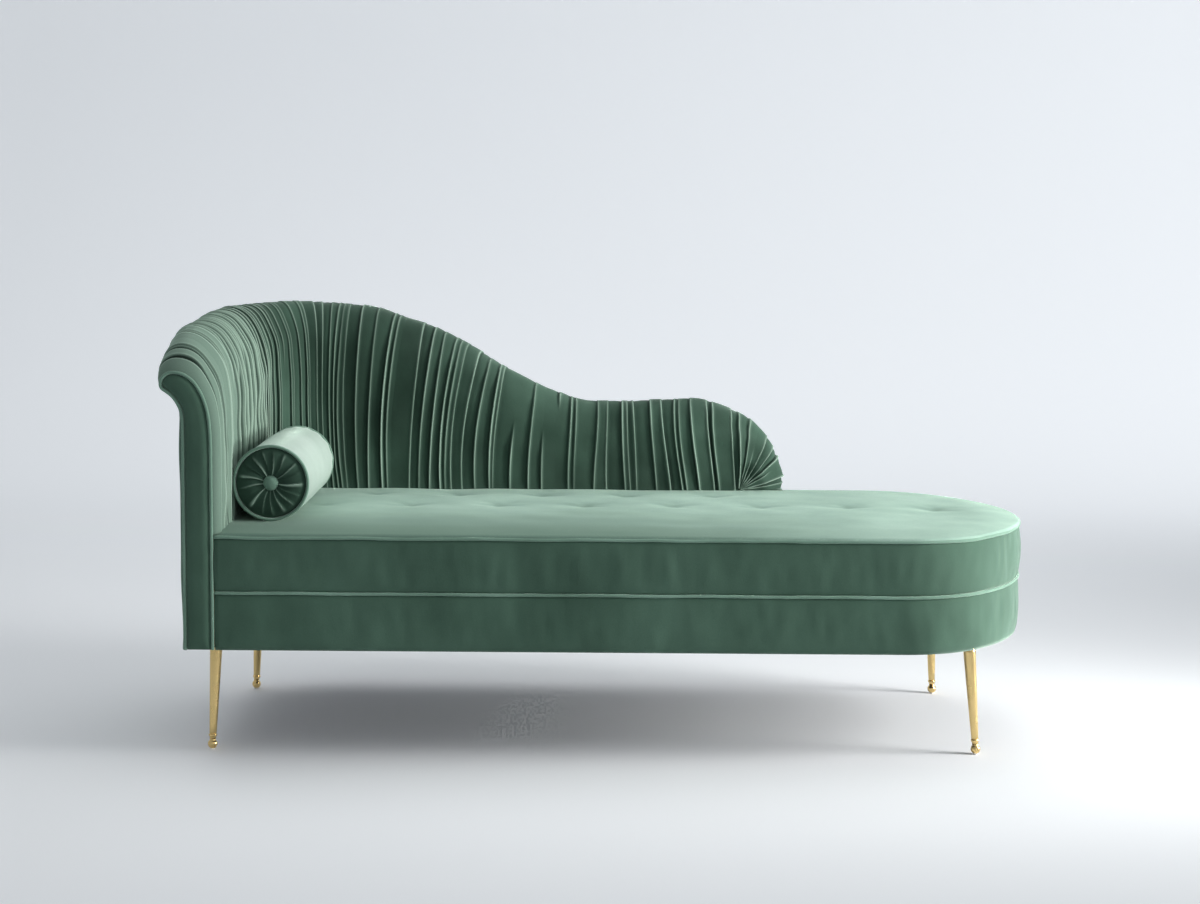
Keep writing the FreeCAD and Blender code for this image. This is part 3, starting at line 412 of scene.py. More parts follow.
# Gaps between folds up to a place along the wall: share of narrow ones, their span, the wide ones' span
GAPS = [
    (470, 0.25, (8, 12), (17, 30)), (860, 0.25, (9, 14), (18, 32)), (FAN_START - 20, 0.28, (8, 14), (22, 42)),
]
FAN_GAP = (13, 24)
# How far a fold's foot stands past its top along the wall, by the fold's place
LEAN = [
    (0, 0), (250, 8), (480, 38), (680, 62), (850, 26), (960, -10), (1100, -24), (1500, 2), (WALL_LENGTH, 0),
]


def fold_places(rng):
    """Rest places of the folds' crests along the wall: close on the arm, in broad panels on the back."""
    places = [PLAIN_EDGE]
    while places[-1] < WALL_LENGTH - 22:
        gap = FAN_GAP
        for reach, share, narrow, wide in GAPS:
            if places[-1] < reach:
                gap = narrow if rng.random() < share else wide
                break
        places.append(places[-1] + rng.uniform(*gap))
    return np.array(places)


def fold_lines(rng, rest, up):
    """Place of each fold's crest at each height, row by row: they wander, but never cross."""
    gaps = np.diff(rest)
    phase, turns = rng.uniform(0, TAU, (2, len(gaps))), rng.uniform(0.25, 0.8, (2, len(gaps)))
    sway = sum(np.sin(phase[k] + TAU * turns[k] * up[:, None]) for k in range(2))
    wide = gaps * (1 + 0.09 * sway)
    wide *= gaps.sum() / wide.sum(axis=1, keepdims=True)
    lines = rest[0] + np.hstack([np.zeros((len(up), 1)), np.cumsum(wide, axis=1)])
    lean = np.interp(lines, *zip(*LEAN))
    return lines + (1 - up[:, None]) * lean


def fold_section(away, slow, fast, depth):
    """One fold's section: a panel that rises gently to its crest and drops steeply into a crease."""
    crest, steep = 0.42, np.minimum(3.0, 0.35 * fast)
    section = np.where(away >= 0, crest * np.clip(1 - away / slow, 0, 1) ** 1.1, 0)
    section = np.where(away < 0, crest - (crest + depth) * np.clip(-away / steep, 0, 1), section)
    out_of_crease = np.clip(1 - (-away - steep) / (2.4 * steep), 0, 1)
    return np.where(away < -steep, -depth * out_of_crease, section), steep


def fold_height(rng, rest, lines, columns, up):
    """Height of all folds, and a painted-light mark for the material: 1 for a painted highlight along their
    crests, -1 for painted shade along their creases.
    """
    height, painted_fold_lighting = np.zeros_like(columns), np.zeros_like(columns)
    before = np.column_stack([np.full(len(up), WALL_FRONT), lines[:, :-1]])
    after = np.column_stack([lines[:, 1:], np.full(len(up), WALL_LENGTH)])
    spacing = np.concatenate([[15], np.diff(rest)])
    for k in range(len(rest)):
        line, left, right = lines[:, k:k + 1], before[:, k:k + 1], after[:, k:k + 1]
        on_arm = 1 - ease(rest[k], ARM_FOLDS_END, ARM_FOLDS_END + 120)
        if rng.random() < 0.75 + 0.12 * on_arm:
            away, slow, fast = columns - line, right - line, line - left
        else:
            away, slow, fast = line - columns, line - left, right - line
        section, steep = fold_section(away, slow, fast, 0.4 + 0.6 * on_arm)
        crest = np.exp(-((away / 1.9) ** 2))
        section += 0.45 * crest * (1 - 0.6 * ease(up, 0.55, 0.75))[:, None]
        size = rng.uniform(0.8, 1.25) * min(6.4, 2.4 + 0.15 * min(spacing[k], 28))
        size *= 1 + 0.75 * on_arm * ease(rest[k], 80, 220)
        strength = size * (0.78 + 0.22 * np.sin(rng.uniform(0, TAU) + TAU * rng.uniform(0.3, 0.9) * up))
        kind, cut = rng.random(), rng.uniform(0.45, 0.8)
        if kind < 0.14:
            strength = strength * ease(up, cut, cut + 0.18)
        elif kind < 0.2:
            strength = strength * (1 - ease(up, 0.2, 0.45))
        # Painted shade along each crease, beside the painted highlight on its crest.
        crease_width, crease_share = 2.4 + 1.4 * on_arm, 0.8 + 0.5 * on_arm
        crease = np.exp(-(((away + steep * 1.1 + on_arm) / crease_width) ** 2)) * crease_share
        height += section * strength[:, None]
        painted_fold_lighting += (crest - crease) * strength[:, None] / 5
    return height, painted_fold_lighting


def ruched_cover():
    """Velvet of the arm, corner and back, drawn into upright folds that wrap over the roll."""
    rng = np.random.default_rng(11)
    places = np.concatenate([np.arange(COVER_FRONT, WALL_LENGTH, 4.0), [WALL_LENGTH]])
    table = wall_table(places, RUCHED_ROWS, RUCHED_FOOT)
    out = table_normals(table)
    up = np.linspace(0, 1, RUCHED_ROWS)
    rest = fold_places(rng)
    lines = fold_lines(rng, rest, up)
    columns = [np.full(RUCHED_ROWS, place) for place in (COVER_FRONT, 0.7, 1.5, 3.0, 5.4, 9.0, 13.5, 17.5)]
    bounds = np.hstack([lines, np.full((RUCHED_ROWS, 1), WALL_LENGTH)])
    for crest, following in zip(bounds.T, bounds.T[1:]):
        near = np.minimum(1, (following - crest) / 20)
        columns += [crest] + [crest + step * near for step in (1.3, 3.0, 7)] + [(crest + following) / 2]
        columns += [following - step * near for step in (7, 3.0, 1.3)]
    columns.append(bounds[:, -1])
    columns = np.clip(np.array(columns).T, COVER_FRONT, WALL_LENGTH)
    folds, painted_fold_lighting = fold_height(rng, rest, lines, columns, up)
    folds *= ease(columns, 12, 30) * (1 - 0.6 * ease(columns, WALL_LENGTH - 14, WALL_LENGTH))
    folds *= (0.55 + 0.45 * ease(up, 0, 0.12))[:, None] * (1 - 0.3 * ease(up, 0.86, 1.0))[:, None]
    folds *= 1 - 0.5 * ease(up, 0.58, 0.8)[:, None] * ease(columns, 380, 620)
    slack = 1.1 * waves(3, 70, columns, up[:, None] * 420)
    height = folds + slack * ease(columns, 4, 40) - 1.5
    full = look_up(table, places, columns) + look_up(out, places, columns) * height[..., None]
    near_front = places[places < 40]
    rim = wall_table(near_front, RUCHED_ROWS, RUCHED_FOOT, **RIM)
    rim = look_up(rim, near_front, np.minimum(columns, near_front[-1]))
    points = front_shoulder(rim, full, columns - COVER_FRONT)
    piece = new_object("ruched_cover_cloth", points.reshape(-1, 3), grid_faces(*columns.shape))
    # Painted light on the folds: a highlight along each crest and shade in each crease, stronger on the arm.
    painted_fold_lighting *= ease(columns, 16, 22) * (1.5 - 0.5 * ease(columns, 500, 640))
    paint(piece, "fold", np.clip(painted_fold_lighting, -1, 1).reshape(-1))
    # Painted light: the folds' colour turns paler on the arm, which faces the lamps, fades out round the
    # corner and keeps a faint share along the back.
    paint(piece, "nap", (1 - ease(columns, 360, 590) + 0.06 * ease(columns, 850, 1150)).reshape(-1))
    thicken(piece, COVER_THICKNESS)
    return stands_for(piece, "velvet", "ruched_cover", "back_padding", fill=0.7)


def outside_cover():
    """Velvet of the outer face: the hollow under the roll, the upright face and the panel at its end."""
    front_places = COVER_FRONT + SHOULDER * (1 - np.cos(np.linspace(0, math.pi / 2, 9)))
    places = np.concatenate([front_places, np.arange(24, FAN_START, 9.0), [FAN_START]])
    fan = FAN_START + FAN_STEP * np.arange(6, 91, 6)
    high_rows, low_rows = 26, 24
    upper, lower, upper_rim, lower_rim = [], [], [], []
    for place in np.concatenate([places, fan]):
        station = Station(place)
        foot = PAD_FOOT + station.foot
        for high, low, shape in ((upper, lower, {}), (upper_rim, lower_rim, RIM)):
            _, hollow = scroll(station.share, station.crest, **shape)
            side = hollow[-1][0]
            high.append(station.place(resample(hollow + [(side, foot)], high_rows)))
            if place <= FAN_START:
                low.append(station.place(np.linspace((side, foot), (side, BASE_BOTTOM), low_rows)))
    panel_x = np.linspace(FAN_PIVOT, WALL_END, 12)
    panel_z = np.linspace(PAD_FOOT, BASE_BOTTOM, low_rows)
    panel = np.array([[(x, BACK_FACE, z) for z in panel_z] for x in panel_x])
    points, faces = [], []
    seam = ease(np.arange(high_rows), 0, 3)
    for part, rim, tucked in (
        (np.array(upper), np.array(upper_rim), 1 - seam),
        (np.array(lower), np.array(lower_rim), 0),
        (panel, panel, 0),
    ):
        out = -table_normals(part)
        bow = 1.6 * waves(21, 120, part[..., 0] + part[..., 1], part[..., 2] * 0.4)
        bow += 0.7 * waves(22, 38, part[..., 0] + part[..., 1], part[..., 2] * 0.25)
        bow *= ease(part[..., 2], BASE_BOTTOM, BASE_BOTTOM + 25)
        bow = bow * (1 - tucked) - 2.2 * tucked
        from_front = part[..., 1] - FRONT_FACE - COVER_FRONT
        behind_edge = np.where(part[..., 0] < ARM_FACE + 60, from_front, SHOULDER)
        shifted = front_shoulder(rim, part + out * bow[..., None], behind_edge)
        faces += [tuple(reversed(face)) for face in grid_faces(*part.shape[:2], first=len(points))]
        points += list(shifted.reshape(-1, 3))
    end_line = [(-60, 0.8), (-30, 0.8), (-3, 0.8), (-0.5, 0.3), (0.6, -1.2), (0.9, -4), (0.9, -15)]
    ys = np.linspace(BACK_FACE - SEAT_EDGE + 0.6, BACK_FACE + 0.3, 12)
    faces += [tuple(reversed(face)) for face in grid_faces(len(end_line), len(ys), first=len(points))]
    points += [(WALL_END + x, y, PAD_FOOT + z) for x, z in end_line for y in ys]
    piece = new_object("outside_cover_cloth", points, faces)
    rework(piece, lambda work: bmesh.ops.remove_doubles(work, verts=work.verts, dist=0.6 * MM))
    thicken(piece, COVER_THICKNESS)
    return stands_for(piece, "velvet", "outside_cover", "outside_wadding")


# Arm facing


def facing_outline(shift=0.0):
    """Outline of the arm's front board as (x, z) points, from its inner foot over the scroll."""
    station = Station(FACING_FRONT - FRONT_FACE)
    inner, hollow = scroll(station.share, station.crest, board=True, shift=shift)
    foot = BASE_BOTTOM + 1.5
    line = [(inner[0][0], foot)] + inner + hollow[1:] + [(hollow[-1][0], foot)]
    return station.place(line)[:, [0, 2]]


def filled(outline, spacing, inside, rings=()):
    """Triangles that fill an outline in plan, with points at the given spacing and along the rings."""
    low, high = outline.min(axis=0), outline.max(axis=0)
    inner = []
    for row, v in enumerate(np.arange(low[1], high[1], spacing * 0.87)):
        for u in np.arange(low[0] + (row % 2) * spacing / 2, high[0], spacing):
            if inside(u, v):
                inner.append((u, v))
    points = [tuple(point) for point in outline] + [tuple(point) for ring in rings for point in ring] + inner
    edges = [(k, (k + 1) % len(outline)) for k in range(len(outline))]
    result = delaunay_2d_cdt([Vector(point) for point in points], edges, [], 1, 1e-5)
    return np.array([tuple(vertex) for vertex in result[0]]), [tuple(face) for face in result[2]]


def outline_distance(points, outline):
    """Distance from each point to a closed outline."""
    ends = np.roll(outline, -1, axis=0)
    along = ends - outline
    length = np.maximum((along**2).sum(axis=1), 1e-9)
    best = np.full(len(points), 1e9)
    for start, step, size in zip(outline, along, length):
        part = np.clip(((points - start) @ step) / size, 0, 1)
        best = np.minimum(best, np.linalg.norm(points - start - part[:, None] * step, axis=1))
    return best


def well_inside(outline, least):
    """Test for points inside a closed outline and clear of its own points."""
    xs, ys = outline[:, 0], outline[:, 1]
    next_xs, next_ys = np.roll(xs, -1), np.roll(ys, -1)
    slope = np.where(next_ys == ys, 1, next_ys - ys)

    def inside(u, v):
        crossing = (ys > v) != (next_ys > v)
        odd = np.count_nonzero(crossing & (u < (next_xs - xs) * (v - ys) / slope + xs)) % 2
        return odd and np.min(np.hypot(xs - u, ys - v)) > least

    return inside


def closed_slab(name, faces, outline_count, front, back):
    """Closed mesh from a filled outline: its shaped front, its flat back and the rim between them."""
    count = len(front)
    all_faces = list(faces) + [tuple(count + k for k in reversed(face)) for face in faces]
    for k in range(outline_count):
        after = (k + 1) % outline_count
        all_faces.append((k, after, count + after, count + k))
    piece = new_object(name, np.vstack([front, back]), all_faces)
    rework(piece, outward)
    return piece


def arm_facing():
    """Padded panel that closes the front of the arm, with its piping."""
    outline = resample(facing_outline(), 240)
    flat, faces = filled(outline, 6.0, well_inside(outline, 3.5))
    depth = outline_distance(flat, outline)
    crown = 5.0 * (1 - (1 - np.clip(depth / 14, 0, 1)) ** 2) + 0.5 * waves(31, 60, flat[:, 0], flat[:, 1])
    crown *= ease(depth, -1, 4)
    front = np.insert(flat, 1, FACING_FRONT + 1.0 - crown, axis=1)
    back = np.insert(flat, 1, FACING_BACK, axis=1)
    panel = closed_slab("arm_facing_panel", faces, len(outline), front, back)
    stands_for(panel, "velvet", "arm_facing", fill=0.5)
    path = np.insert(resample(facing_outline(WELT_RADIUS + 0.2), 420), 1, FACING_FRONT + 1.0, axis=1)
    return panel, piping("arm_facing_piping", path, FORWARD, "arm_facing_welt", 5)


# Seat


def seat_top():
    """Crowned top of the seat with its two rows of soft tufts and a rolled edge down to the piping."""
    inset = 1.0
    left, rear, step = ARM_FACE + SEAT_EDGE + inset, BACK_FACE - SEAT_EDGE - inset, WALL_END + 2
    front_line, _ = arch(inset, left, step)
    back_line = [(x, rear) for x in np.linspace(step, ROUND_CENTRE[0], 100)[:-1]]
    outline = np.vstack([front_line, back_line, rear_corner(WALL_CORNER - SEAT_EDGE - inset, 28)])
    inside = well_inside(outline, 5)
    rings = [
        arch(inset + depth, left + depth, step + depth, step=9.0)[0] for depth in (1.2, 2.8, 5, 8, 12, 17, 23)
    ]
    flat, faces = filled(
        outline, 9.0, lambda u, v: inside(u, v) and arch_distance(u, v) > inset + 27, rings
    )
    x, y = flat[:, 0], flat[:, 1]
    depth = arch_distance(x, y) - inset
    edge, shoulder = np.clip(depth / 7, 0, 1), np.clip(depth / 95, 0, 1)
    top = TOP_WELT + 2.5 + 3.4 * np.sqrt(1 - (1 - edge) ** 2) + 7.6 * (1 - (1 - shoulder) ** 2)
    top += 3.0 * ease(depth, 60, 260)
    beside, beyond = np.abs(x - BOLSTER_X) - 30, np.abs(y - BOLSTER_Y) - 190
    clear = ease(np.hypot(np.maximum(beside, 0), np.maximum(beyond, 0)), 0, 110)
    top = np.minimum(top, SEAT_TOP) + np.maximum(top - SEAT_TOP, 0) * clear
    quiet = ease(depth, 5, 60) * clear
    top += quiet * (0.8 * waves(41, 240, x, y) + 0.25 * waves(42, 80, x, y))
    # Painted shade: the top is darker near its front edge, most towards the arm end, and in each tuft's
    # dimple; the material mixes in a darker colour there.
    shade = (1 - ease(y - FRONT_FACE, 20, 380)) * (1 - ease(x, 0, 700))
    for number, (tuft_x, tuft_y) in enumerate(TUFTS):
        away = np.hypot(x - tuft_x, (y - tuft_y) * 1.15)
        angle = np.arctan2(y - tuft_y, x - tuft_x)
        pull = 4.6 * np.exp(-((away / 42) ** 2)) + 2.6 * np.exp(-((away / 15) ** 2))
        rays = 0.6 * np.sin(5 * angle + number * 1.7) * np.exp(-(((away - 34) / 20) ** 2))
        top -= (pull + rays) * (0.35 + 0.65 * clear)
        shade = np.maximum(shade, 0.35 * np.exp(-((away / 26) ** 2)))
    front, back = np.column_stack([flat, top]), np.insert(flat, 2, TOP_WELT + 1.0, axis=1)
    piece = closed_slab("seat_top_cushion", faces, len(outline), front, back)
    paint(piece, "nap", np.tile(shade, 2))
    return stands_for(piece, "velvet", "seat_top_panel", "seat_foam", "tuft_ties", fill=0.8)


def band(name, low, high, bulge, seed, *nodes):
    """Upright velvet band between two rows of piping, with a little swell and drawn-up creases."""
    line, out = arch(0.0, ARM_FACE + SEAT_EDGE, WALL_END + 1, step=9.0)
    along = lengths_along(line)
    rows = 15
    part = np.linspace(0, 1, rows)[:, None]
    heights = low + (high - low) * part
    swell = (bulge + 2) * np.sin(math.pi * part) ** 0.55 - 3.5
    creases = 0.9 * waves(seed, 70, along, heights * 0.5)
    creases += 0.5 * waves(seed + 1, 26, along, heights * 0.3)
    swell = swell + creases * np.sin(math.pi * part) ** 0.5
    points = np.concatenate([
        line[None, :, :] + out[None, :, :] * swell[..., None],
        np.broadcast_to(heights[..., None], (rows, len(line), 1)),
    ], axis=2)
    piece = new_object(name, points.reshape(-1, 3), grid_faces(rows, len(line)))
    thicken(piece, 2.0)
    return stands_for(piece, "velvet", *nodes, fill=0.6)


def seat_piping(name, level, node, seed):
    line, _ = arch(WELT_INSET, ARM_FACE + SEAT_EDGE, WALL_END + 1, step=5.0)
    height = level + 0.5 * waves(seed, 160, 5.0 * np.arange(len(line)))
    return piping(name, np.column_stack([line, height]), UP, node, seed)


def dust_cover():
    """Thin black cloth stapled under the frame, sagging a little between its staples."""
    margin = 6.0
    line, _ = arch(margin, ARM_FACE + margin, ARM_FACE + WALL_CORNER, step=14.0)
    outline = np.vstack([line, rear_corner(WALL_CORNER - margin, 24)[1:]])
    flat, faces = filled(outline, 16.0, well_inside(outline, 8))
    depth = outline_distance(flat, outline)
    sag = 3.0 * ease(depth, 8, 140) + 0.6 * waves(51, 45, flat[:, 0], flat[:, 1]) * ease(depth, 2, 20)
    lower = np.column_stack([flat, 217.4 - sag])
    upper = np.column_stack([flat, 218.0 - sag])
    piece = closed_slab("dust_cover_cloth", faces, len(outline), lower, upper)
    return stands_for(piece, "cambric", "dust_cover")


# Bolster


PLEATS = 17


def about_bolster(radius, angle, y):
    """Points about the bolster's axis, ring by ring."""
    x, z = BOLSTER_X + radius * np.cos(angle), BOLSTER_Z + radius * np.sin(angle)
    return np.stack([x, np.broadcast_to(y, x.shape), z], axis=-1).reshape(-1, 3)


def bolster_sleeve():
    """Velvet tube round the bolster, eased full between its two piped ends."""
    rows, columns = 90, 150
    (_, front, _), (_, rear, _) = BOLSTER_ENDS
    y = np.linspace(front - 0.5, rear + 0.5, rows)[:, None]
    angle = around(columns)
    end = np.minimum(y - y[0], y[-1] - y)
    puckers = 0.8 * np.sin(PLEATS * angle + 2.2 * waves(61, 3.2, angle)) * np.exp(-end / 22)
    round_x, round_z = BOLSTER_RADIUS * np.cos(angle), BOLSTER_RADIUS * np.sin(angle)
    radius = 71.5 + 2.6 * np.sqrt(np.clip(end / 40, 0, 1)) + puckers
    radius = radius + 0.9 * waves(62, 55, round_x, round_z, y * 0.35) * ease(end, 3, 30)
    downward = np.cos(angle + math.pi / 2)
    radius = np.minimum(radius, BOLSTER_FLAT / np.maximum(downward, 0.2))
    faces = grid_faces(rows, columns, wrap=True)
    piece = new_object("bolster_sleeve_cloth", about_bolster(radius, angle, y), faces, "bolster")

    def close_ends(work):
        work.verts.ensure_lookup_table()
        for end_face in (range(columns), reversed(range((rows - 1) * columns, rows * columns))):
            work.faces.new([work.verts[k] for k in end_face])
        outward(work)

    rework(piece, close_ends)
    return stands_for(piece, "velvet", "bolster_sleeve", "bolster_filling", fill=0.8)


def bolster_cap(side, plane, outwards):
    """Gathered end of the bolster: pleats run in from the piping to the covered button."""
    rings, columns = 26, PLEATS * 12
    radius = np.concatenate([np.linspace(BOLSTER_RIM, 60, 5), np.linspace(58, 6, rings - 5)])[:, None]
    angle = around(columns)
    warped = angle + 0.05 * waves(71, 1.1, angle) + 0.05 * np.sin(radius / 13)
    saw = (warped * PLEATS / TAU) % 1.0
    fold = np.where(saw < 0.8, saw / 0.8, (1 - saw) / 0.2) ** 1.5
    fold = fold * (0.85 + 0.3 * waves(72, 0.9, angle))
    part = (BOLSTER_RIM - radius) / 61.6
    dome = 7.5 * np.sin(math.pi * np.clip(part * 1.08, 0, 1)) ** 0.65
    depth = dome + fold * 3.2 * ease(part, 0.02, 0.2) * (1 - 0.5 * ease(part, 0.7, 1))
    faces = grid_faces(rings, columns, wrap=True)
    faces.append(tuple(range((rings - 1) * columns, rings * columns)))
    points = about_bolster(radius, angle, plane + outwards * (0.6 + depth))
    piece = new_object(f"bolster_cap_{side}_cloth", points, faces, "bolster")
    # Painted highlight: a pale line along each pleat's ridge on the bolster's end.
    paint(piece, "fold", (np.clip(fold - 0.62, 0, 1) * 2.4 * ease(part, 0.05, 0.25)).reshape(-1))
    if outwards * sum(face.normal.y * face.area for face in piece.data.polygons) < 0:
        piece.data.flip_normals()
    thicken(piece, 1.0)
    return stands_for(piece, "velvet", f"bolster_cap_{side}")


def bolster_buttons():
    """Covered buttons that pull the gathered ends together."""
    points, faces = [], []
    rings, columns = 10, 32
    turn = np.linspace(0, math.pi / 2, rings)[:, None]
    for _, plane, outwards in BOLSTER_ENDS:
        faces += capped_tube(rings, columns, len(points))
        height = 4.0 + 6.6 * np.sin(turn)
        points += list(about_bolster(14.6 * np.cos(0.93 * turn), around(columns), plane + outwards * height))
    piece = new_object("bolster_covered_buttons", points, faces, "bolster")
    rework(piece, outward)
    return stands_for(piece, "velvet", "bolster_buttons")


def bolster_piping(side, plane, outwards):
    path = about_bolster(BOLSTER_WELT, around(96), plane + outwards * 3.4)
    return piping(f"bolster_piping_{side}", path, FORWARD, "bolster_welts", 8, body="bolster", closed=True)


# Legs


LEG_TOP, BALL_CENTRE, BALL_RADIUS = 216.8, 10.2, 9.3
# Ring and neck above a ball foot, as (radius, height over the ball's centre)
NECK = [(5.9, 11.0), (6.2, 13.0), (7.0, 15.0), (8.0, 15.1), (8.0, 19.0), (6.1, 19.4), (6.1, 20.8)]
# Centre of each foot and how far the leg's top stands from it
LEGS = {
    "front_left": (-757.0, -286.5, 7.0, 16.5),
    "front_right": (718.0, -286.5, -17.0, 6.0),
    "rear_left": (-757.0, 249.5, 10.0, -15.0),
    "rear_right": (718.0, 249.5, -10.0, -15.0),
}


def turned(name, profile, foot, lean, node):
    """Piece turned about an axis from the centre of a leg's ball, from (radius, height) points."""
    sides = 48
    axis = unit(np.array([*lean, LEG_TOP - BALL_CENTRE]))
    side = unit(np.cross([0, 1.0, 0], axis))
    front = np.cross(axis, side)
    angle = around(sides)[:, None]
    spoke = np.cos(angle) * side + np.sin(angle) * front
    centre = np.array([*foot, BALL_CENTRE])
    rings = np.array([centre + axis * height + spoke * radius for radius, height in profile])
    piece = new_object(name, rings.reshape(-1, 3), capped_tube(len(profile), sides))
    rework(piece, outward)
    return stands_for(piece, "brass", node)


def eased_corners(corners, radius=0.35):
    """The profile with each corner cut by a fine bevel, so that edges catch the light."""
    corners = [np.array(corner, float) for corner in corners]
    line = [corners[0]]
    for before, corner, after in zip(corners, corners[1:], corners[2:]):
        for other in (before, after):
            step = other - corner
            line.append(corner + step * min(0.4, radius / np.linalg.norm(step)))
    return line + [corners[-1]]


def legs():
    """Tapered brass legs with a ring above each ball foot."""
    round_part = np.radians(np.arange(-58, 49, 6))
    ball = [(BALL_RADIUS * math.cos(a), BALL_RADIUS * math.sin(a)) for a in round_part]
    ball = [(4.6, -8.2)] + ball + [(6.0, 7.6), (6.0, 11.2)]
    pieces = []
    for name, (x, y, lean_x, lean_y) in LEGS.items():
        top = math.hypot(lean_x, lean_y, LEG_TOP - BALL_CENTRE) - 1.2
        taper = [(7.0 + 5.5 * part, 21.0 + (top - 21.0) * part) for part in np.linspace(0, 1, 12)]
        for kind, profile in (("leg", eased_corners(NECK + taper)), ("ball_foot", ball)):
            pieces.append(turned(f"{kind}_{name}_brass", profile, (x, y), (lean_x, lean_y), f"{kind}_{name}"))
    return pieces


# Materials


class Nodes:
    """Short way to add and join shader nodes."""

    def __init__(self, name):
        self.material = bpy.data.materials.new(name)
        self.material.use_nodes = True
        self.tree = self.material.node_tree
        self.tree.nodes.clear()
        self.coordinates = self.add("TexCoord").outputs["Object"]

    def add(self, kind, inputs=(), **settings):
        """New node with its settings; each input gets a number, a colour, a vector or an output."""
        node = self.tree.nodes.new("ShaderNode" + kind)
        for key, value in settings.items():
            setattr(node, key, value)
        for key, value in dict(inputs).items():
            socket = node.inputs[key]
            if isinstance(value, bpy.types.NodeSocket):
                self.tree.links.new(value, socket)
            elif isinstance(value, tuple):
                socket.default_value = (*value, 1.0)[:len(socket.default_value)]
            else:
                socket.default_value = value
        return node

    def noise(self, scale, detail=3.0, stretch=None):
        place = self.coordinates
        if stretch:
            place = self.add("Mapping", {"Vector": place, "Scale": stretch}).outputs["Vector"]
        return self.add("TexNoise", {"Vector": place, "Scale": scale, "Detail": detail}).outputs["Fac"]

    def ramp(self, source, stops):
        """Colour or grey by value, from (place, colour or number) stops."""
        node = self.add("ValToRGB", {"Fac": source})
        elements = node.color_ramp.elements
        while len(elements) < len(stops):
            elements.new(0.5)
        for element, (place, colour) in zip(elements, stops):
            element.position = place
            element.color = (*(colour if isinstance(colour, tuple) else (colour,) * 3), 1.0)
        return node.outputs["Color"]

    def math(self, operation, first, second):
        return self.add("Math", {0: first, 1: second}, operation=operation).outputs["Value"]

    def mix(self, factor, first, second, blend="MIX"):
        inputs = {"Factor": factor, "A": first, "B": second}
        return self.add("Mix", inputs, data_type="RGBA", blend_type=blend).outputs["Result"]

    def painted(self, name):
        return self.add("Attribute", attribute_name=name).outputs["Fac"]

    def bump(self, height, strength, distance):
        inputs = {"Height": height, "Strength": strength, "Distance": distance}
        return self.add("Bump", inputs).outputs["Normal"]

    def surface(self, colour, roughness, **inputs):
        """The material, finished with a principled shader."""
        named = {key.replace("_", " "): value for key, value in inputs.items()}
        shader = self.add("BsdfPrincipled", {"Base Color": colour, "Roughness": roughness, **named})
        self.add("OutputMaterial", {"Surface": shader.outputs["BSDF"]})
        return self.material


def velvet(name, dark, mid, pale, crest=0.0, painted_lighting_colour=None, sheen=0.8):
    """Cotton velvet: pile that shades in soft patches and streaks, with painted light: a colour mixed in by a
    painted mark, a painted highlight along fold crests and painted shade in their creases.
    """
    n = Nodes(name)
    patches = n.noise(3.2, 3.0)
    brushed = n.noise(14.0, 4.0, stretch=(1.0, 1.0, 0.5))
    fibres = n.noise(1400.0, 2.0)
    shade = n.math("ADD", n.math("MULTIPLY", patches, 0.6), n.math("MULTIPLY", brushed, 0.4))
    colour = n.ramp(shade, [(0.36, dark), (0.5, mid), (0.66, pale)])
    # Painted lighting: mix towards the given colour by the painted mark, paler on the arm's folds and darker
    # at the seat top's front and in its tufts.
    if painted_lighting_colour:
        painted_lighting_share = n.painted("nap")
        colour = n.mix(n.math("MULTIPLY", painted_lighting_share, 0.9), colour, painted_lighting_colour)
    if crest:
        fold = n.painted("fold")
        # Painted shade: darken the creases nearly to black.
        crease_shade = n.math("MAXIMUM", n.math("MULTIPLY", fold, -1.0), 0.0)
        colour = n.mix(crease_shade, colour, (0.008, 0.020, 0.014))
        # Painted highlight: lighten the crests to a pale green, for the sheen that catches them.
        wear_and_crest_highlight = n.math("MULTIPLY", n.math("MAXIMUM", fold, 0.0), crest)
        colour = n.mix(wear_and_crest_highlight, colour, (0.32, 0.44, 0.36))
    colour = n.mix(1.0, colour, n.ramp(fibres, [(0.3, 0.78), (0.7, 1.0)]), "MULTIPLY")
    height = n.math("ADD", n.math("MULTIPLY", fibres, 0.35), n.math("MULTIPLY", n.noise(240.0, 3.0), 0.65))
    return n.surface(
        colour, n.ramp(brushed, [(0.3, 0.78), (0.7, 0.92)]), Normal=n.bump(height, 0.35, 0.0006),
        Sheen_Weight=sheen, Sheen_Roughness=0.36, Sheen_Tint=(0.72, 0.94, 0.80), Specular_IOR_Level=0.15,
    )


def wood(name, dark, pale, scale=(1.0, 14.0, 14.0)):
    n = Nodes(name)
    grain = n.noise(9.0, 6.0, stretch=scale)
    pores = n.noise(160.0, 2.0, stretch=scale)
    colour = n.mix(n.math("MULTIPLY", pores, 0.25), n.ramp(grain, [(0.32, dark), (0.68, pale)]), dark)
    return n.surface(colour, n.ramp(grain, [(0.3, 0.5), (0.7, 0.68)]), Normal=n.bump(grain, 0.2, 0.0005))


def woven(name, dark, pale, threads):
    n = Nodes(name)
    thread = {"Vector": n.coordinates, "Scale": threads, "Distortion": 1.2}
    warp, weft = (n.add("TexWave", thread, bands_direction=way).outputs["Fac"] for way in "XY")
    weave = n.math("MAXIMUM", warp, weft)
    shade = n.math("ADD", n.math("MULTIPLY", weave, 0.6), n.math("MULTIPLY", n.noise(30.0), 0.4))
    return n.surface(n.ramp(shade, [(0.3, dark), (0.75, pale)]), 0.9, Normal=n.bump(weave, 0.3, 0.0003))


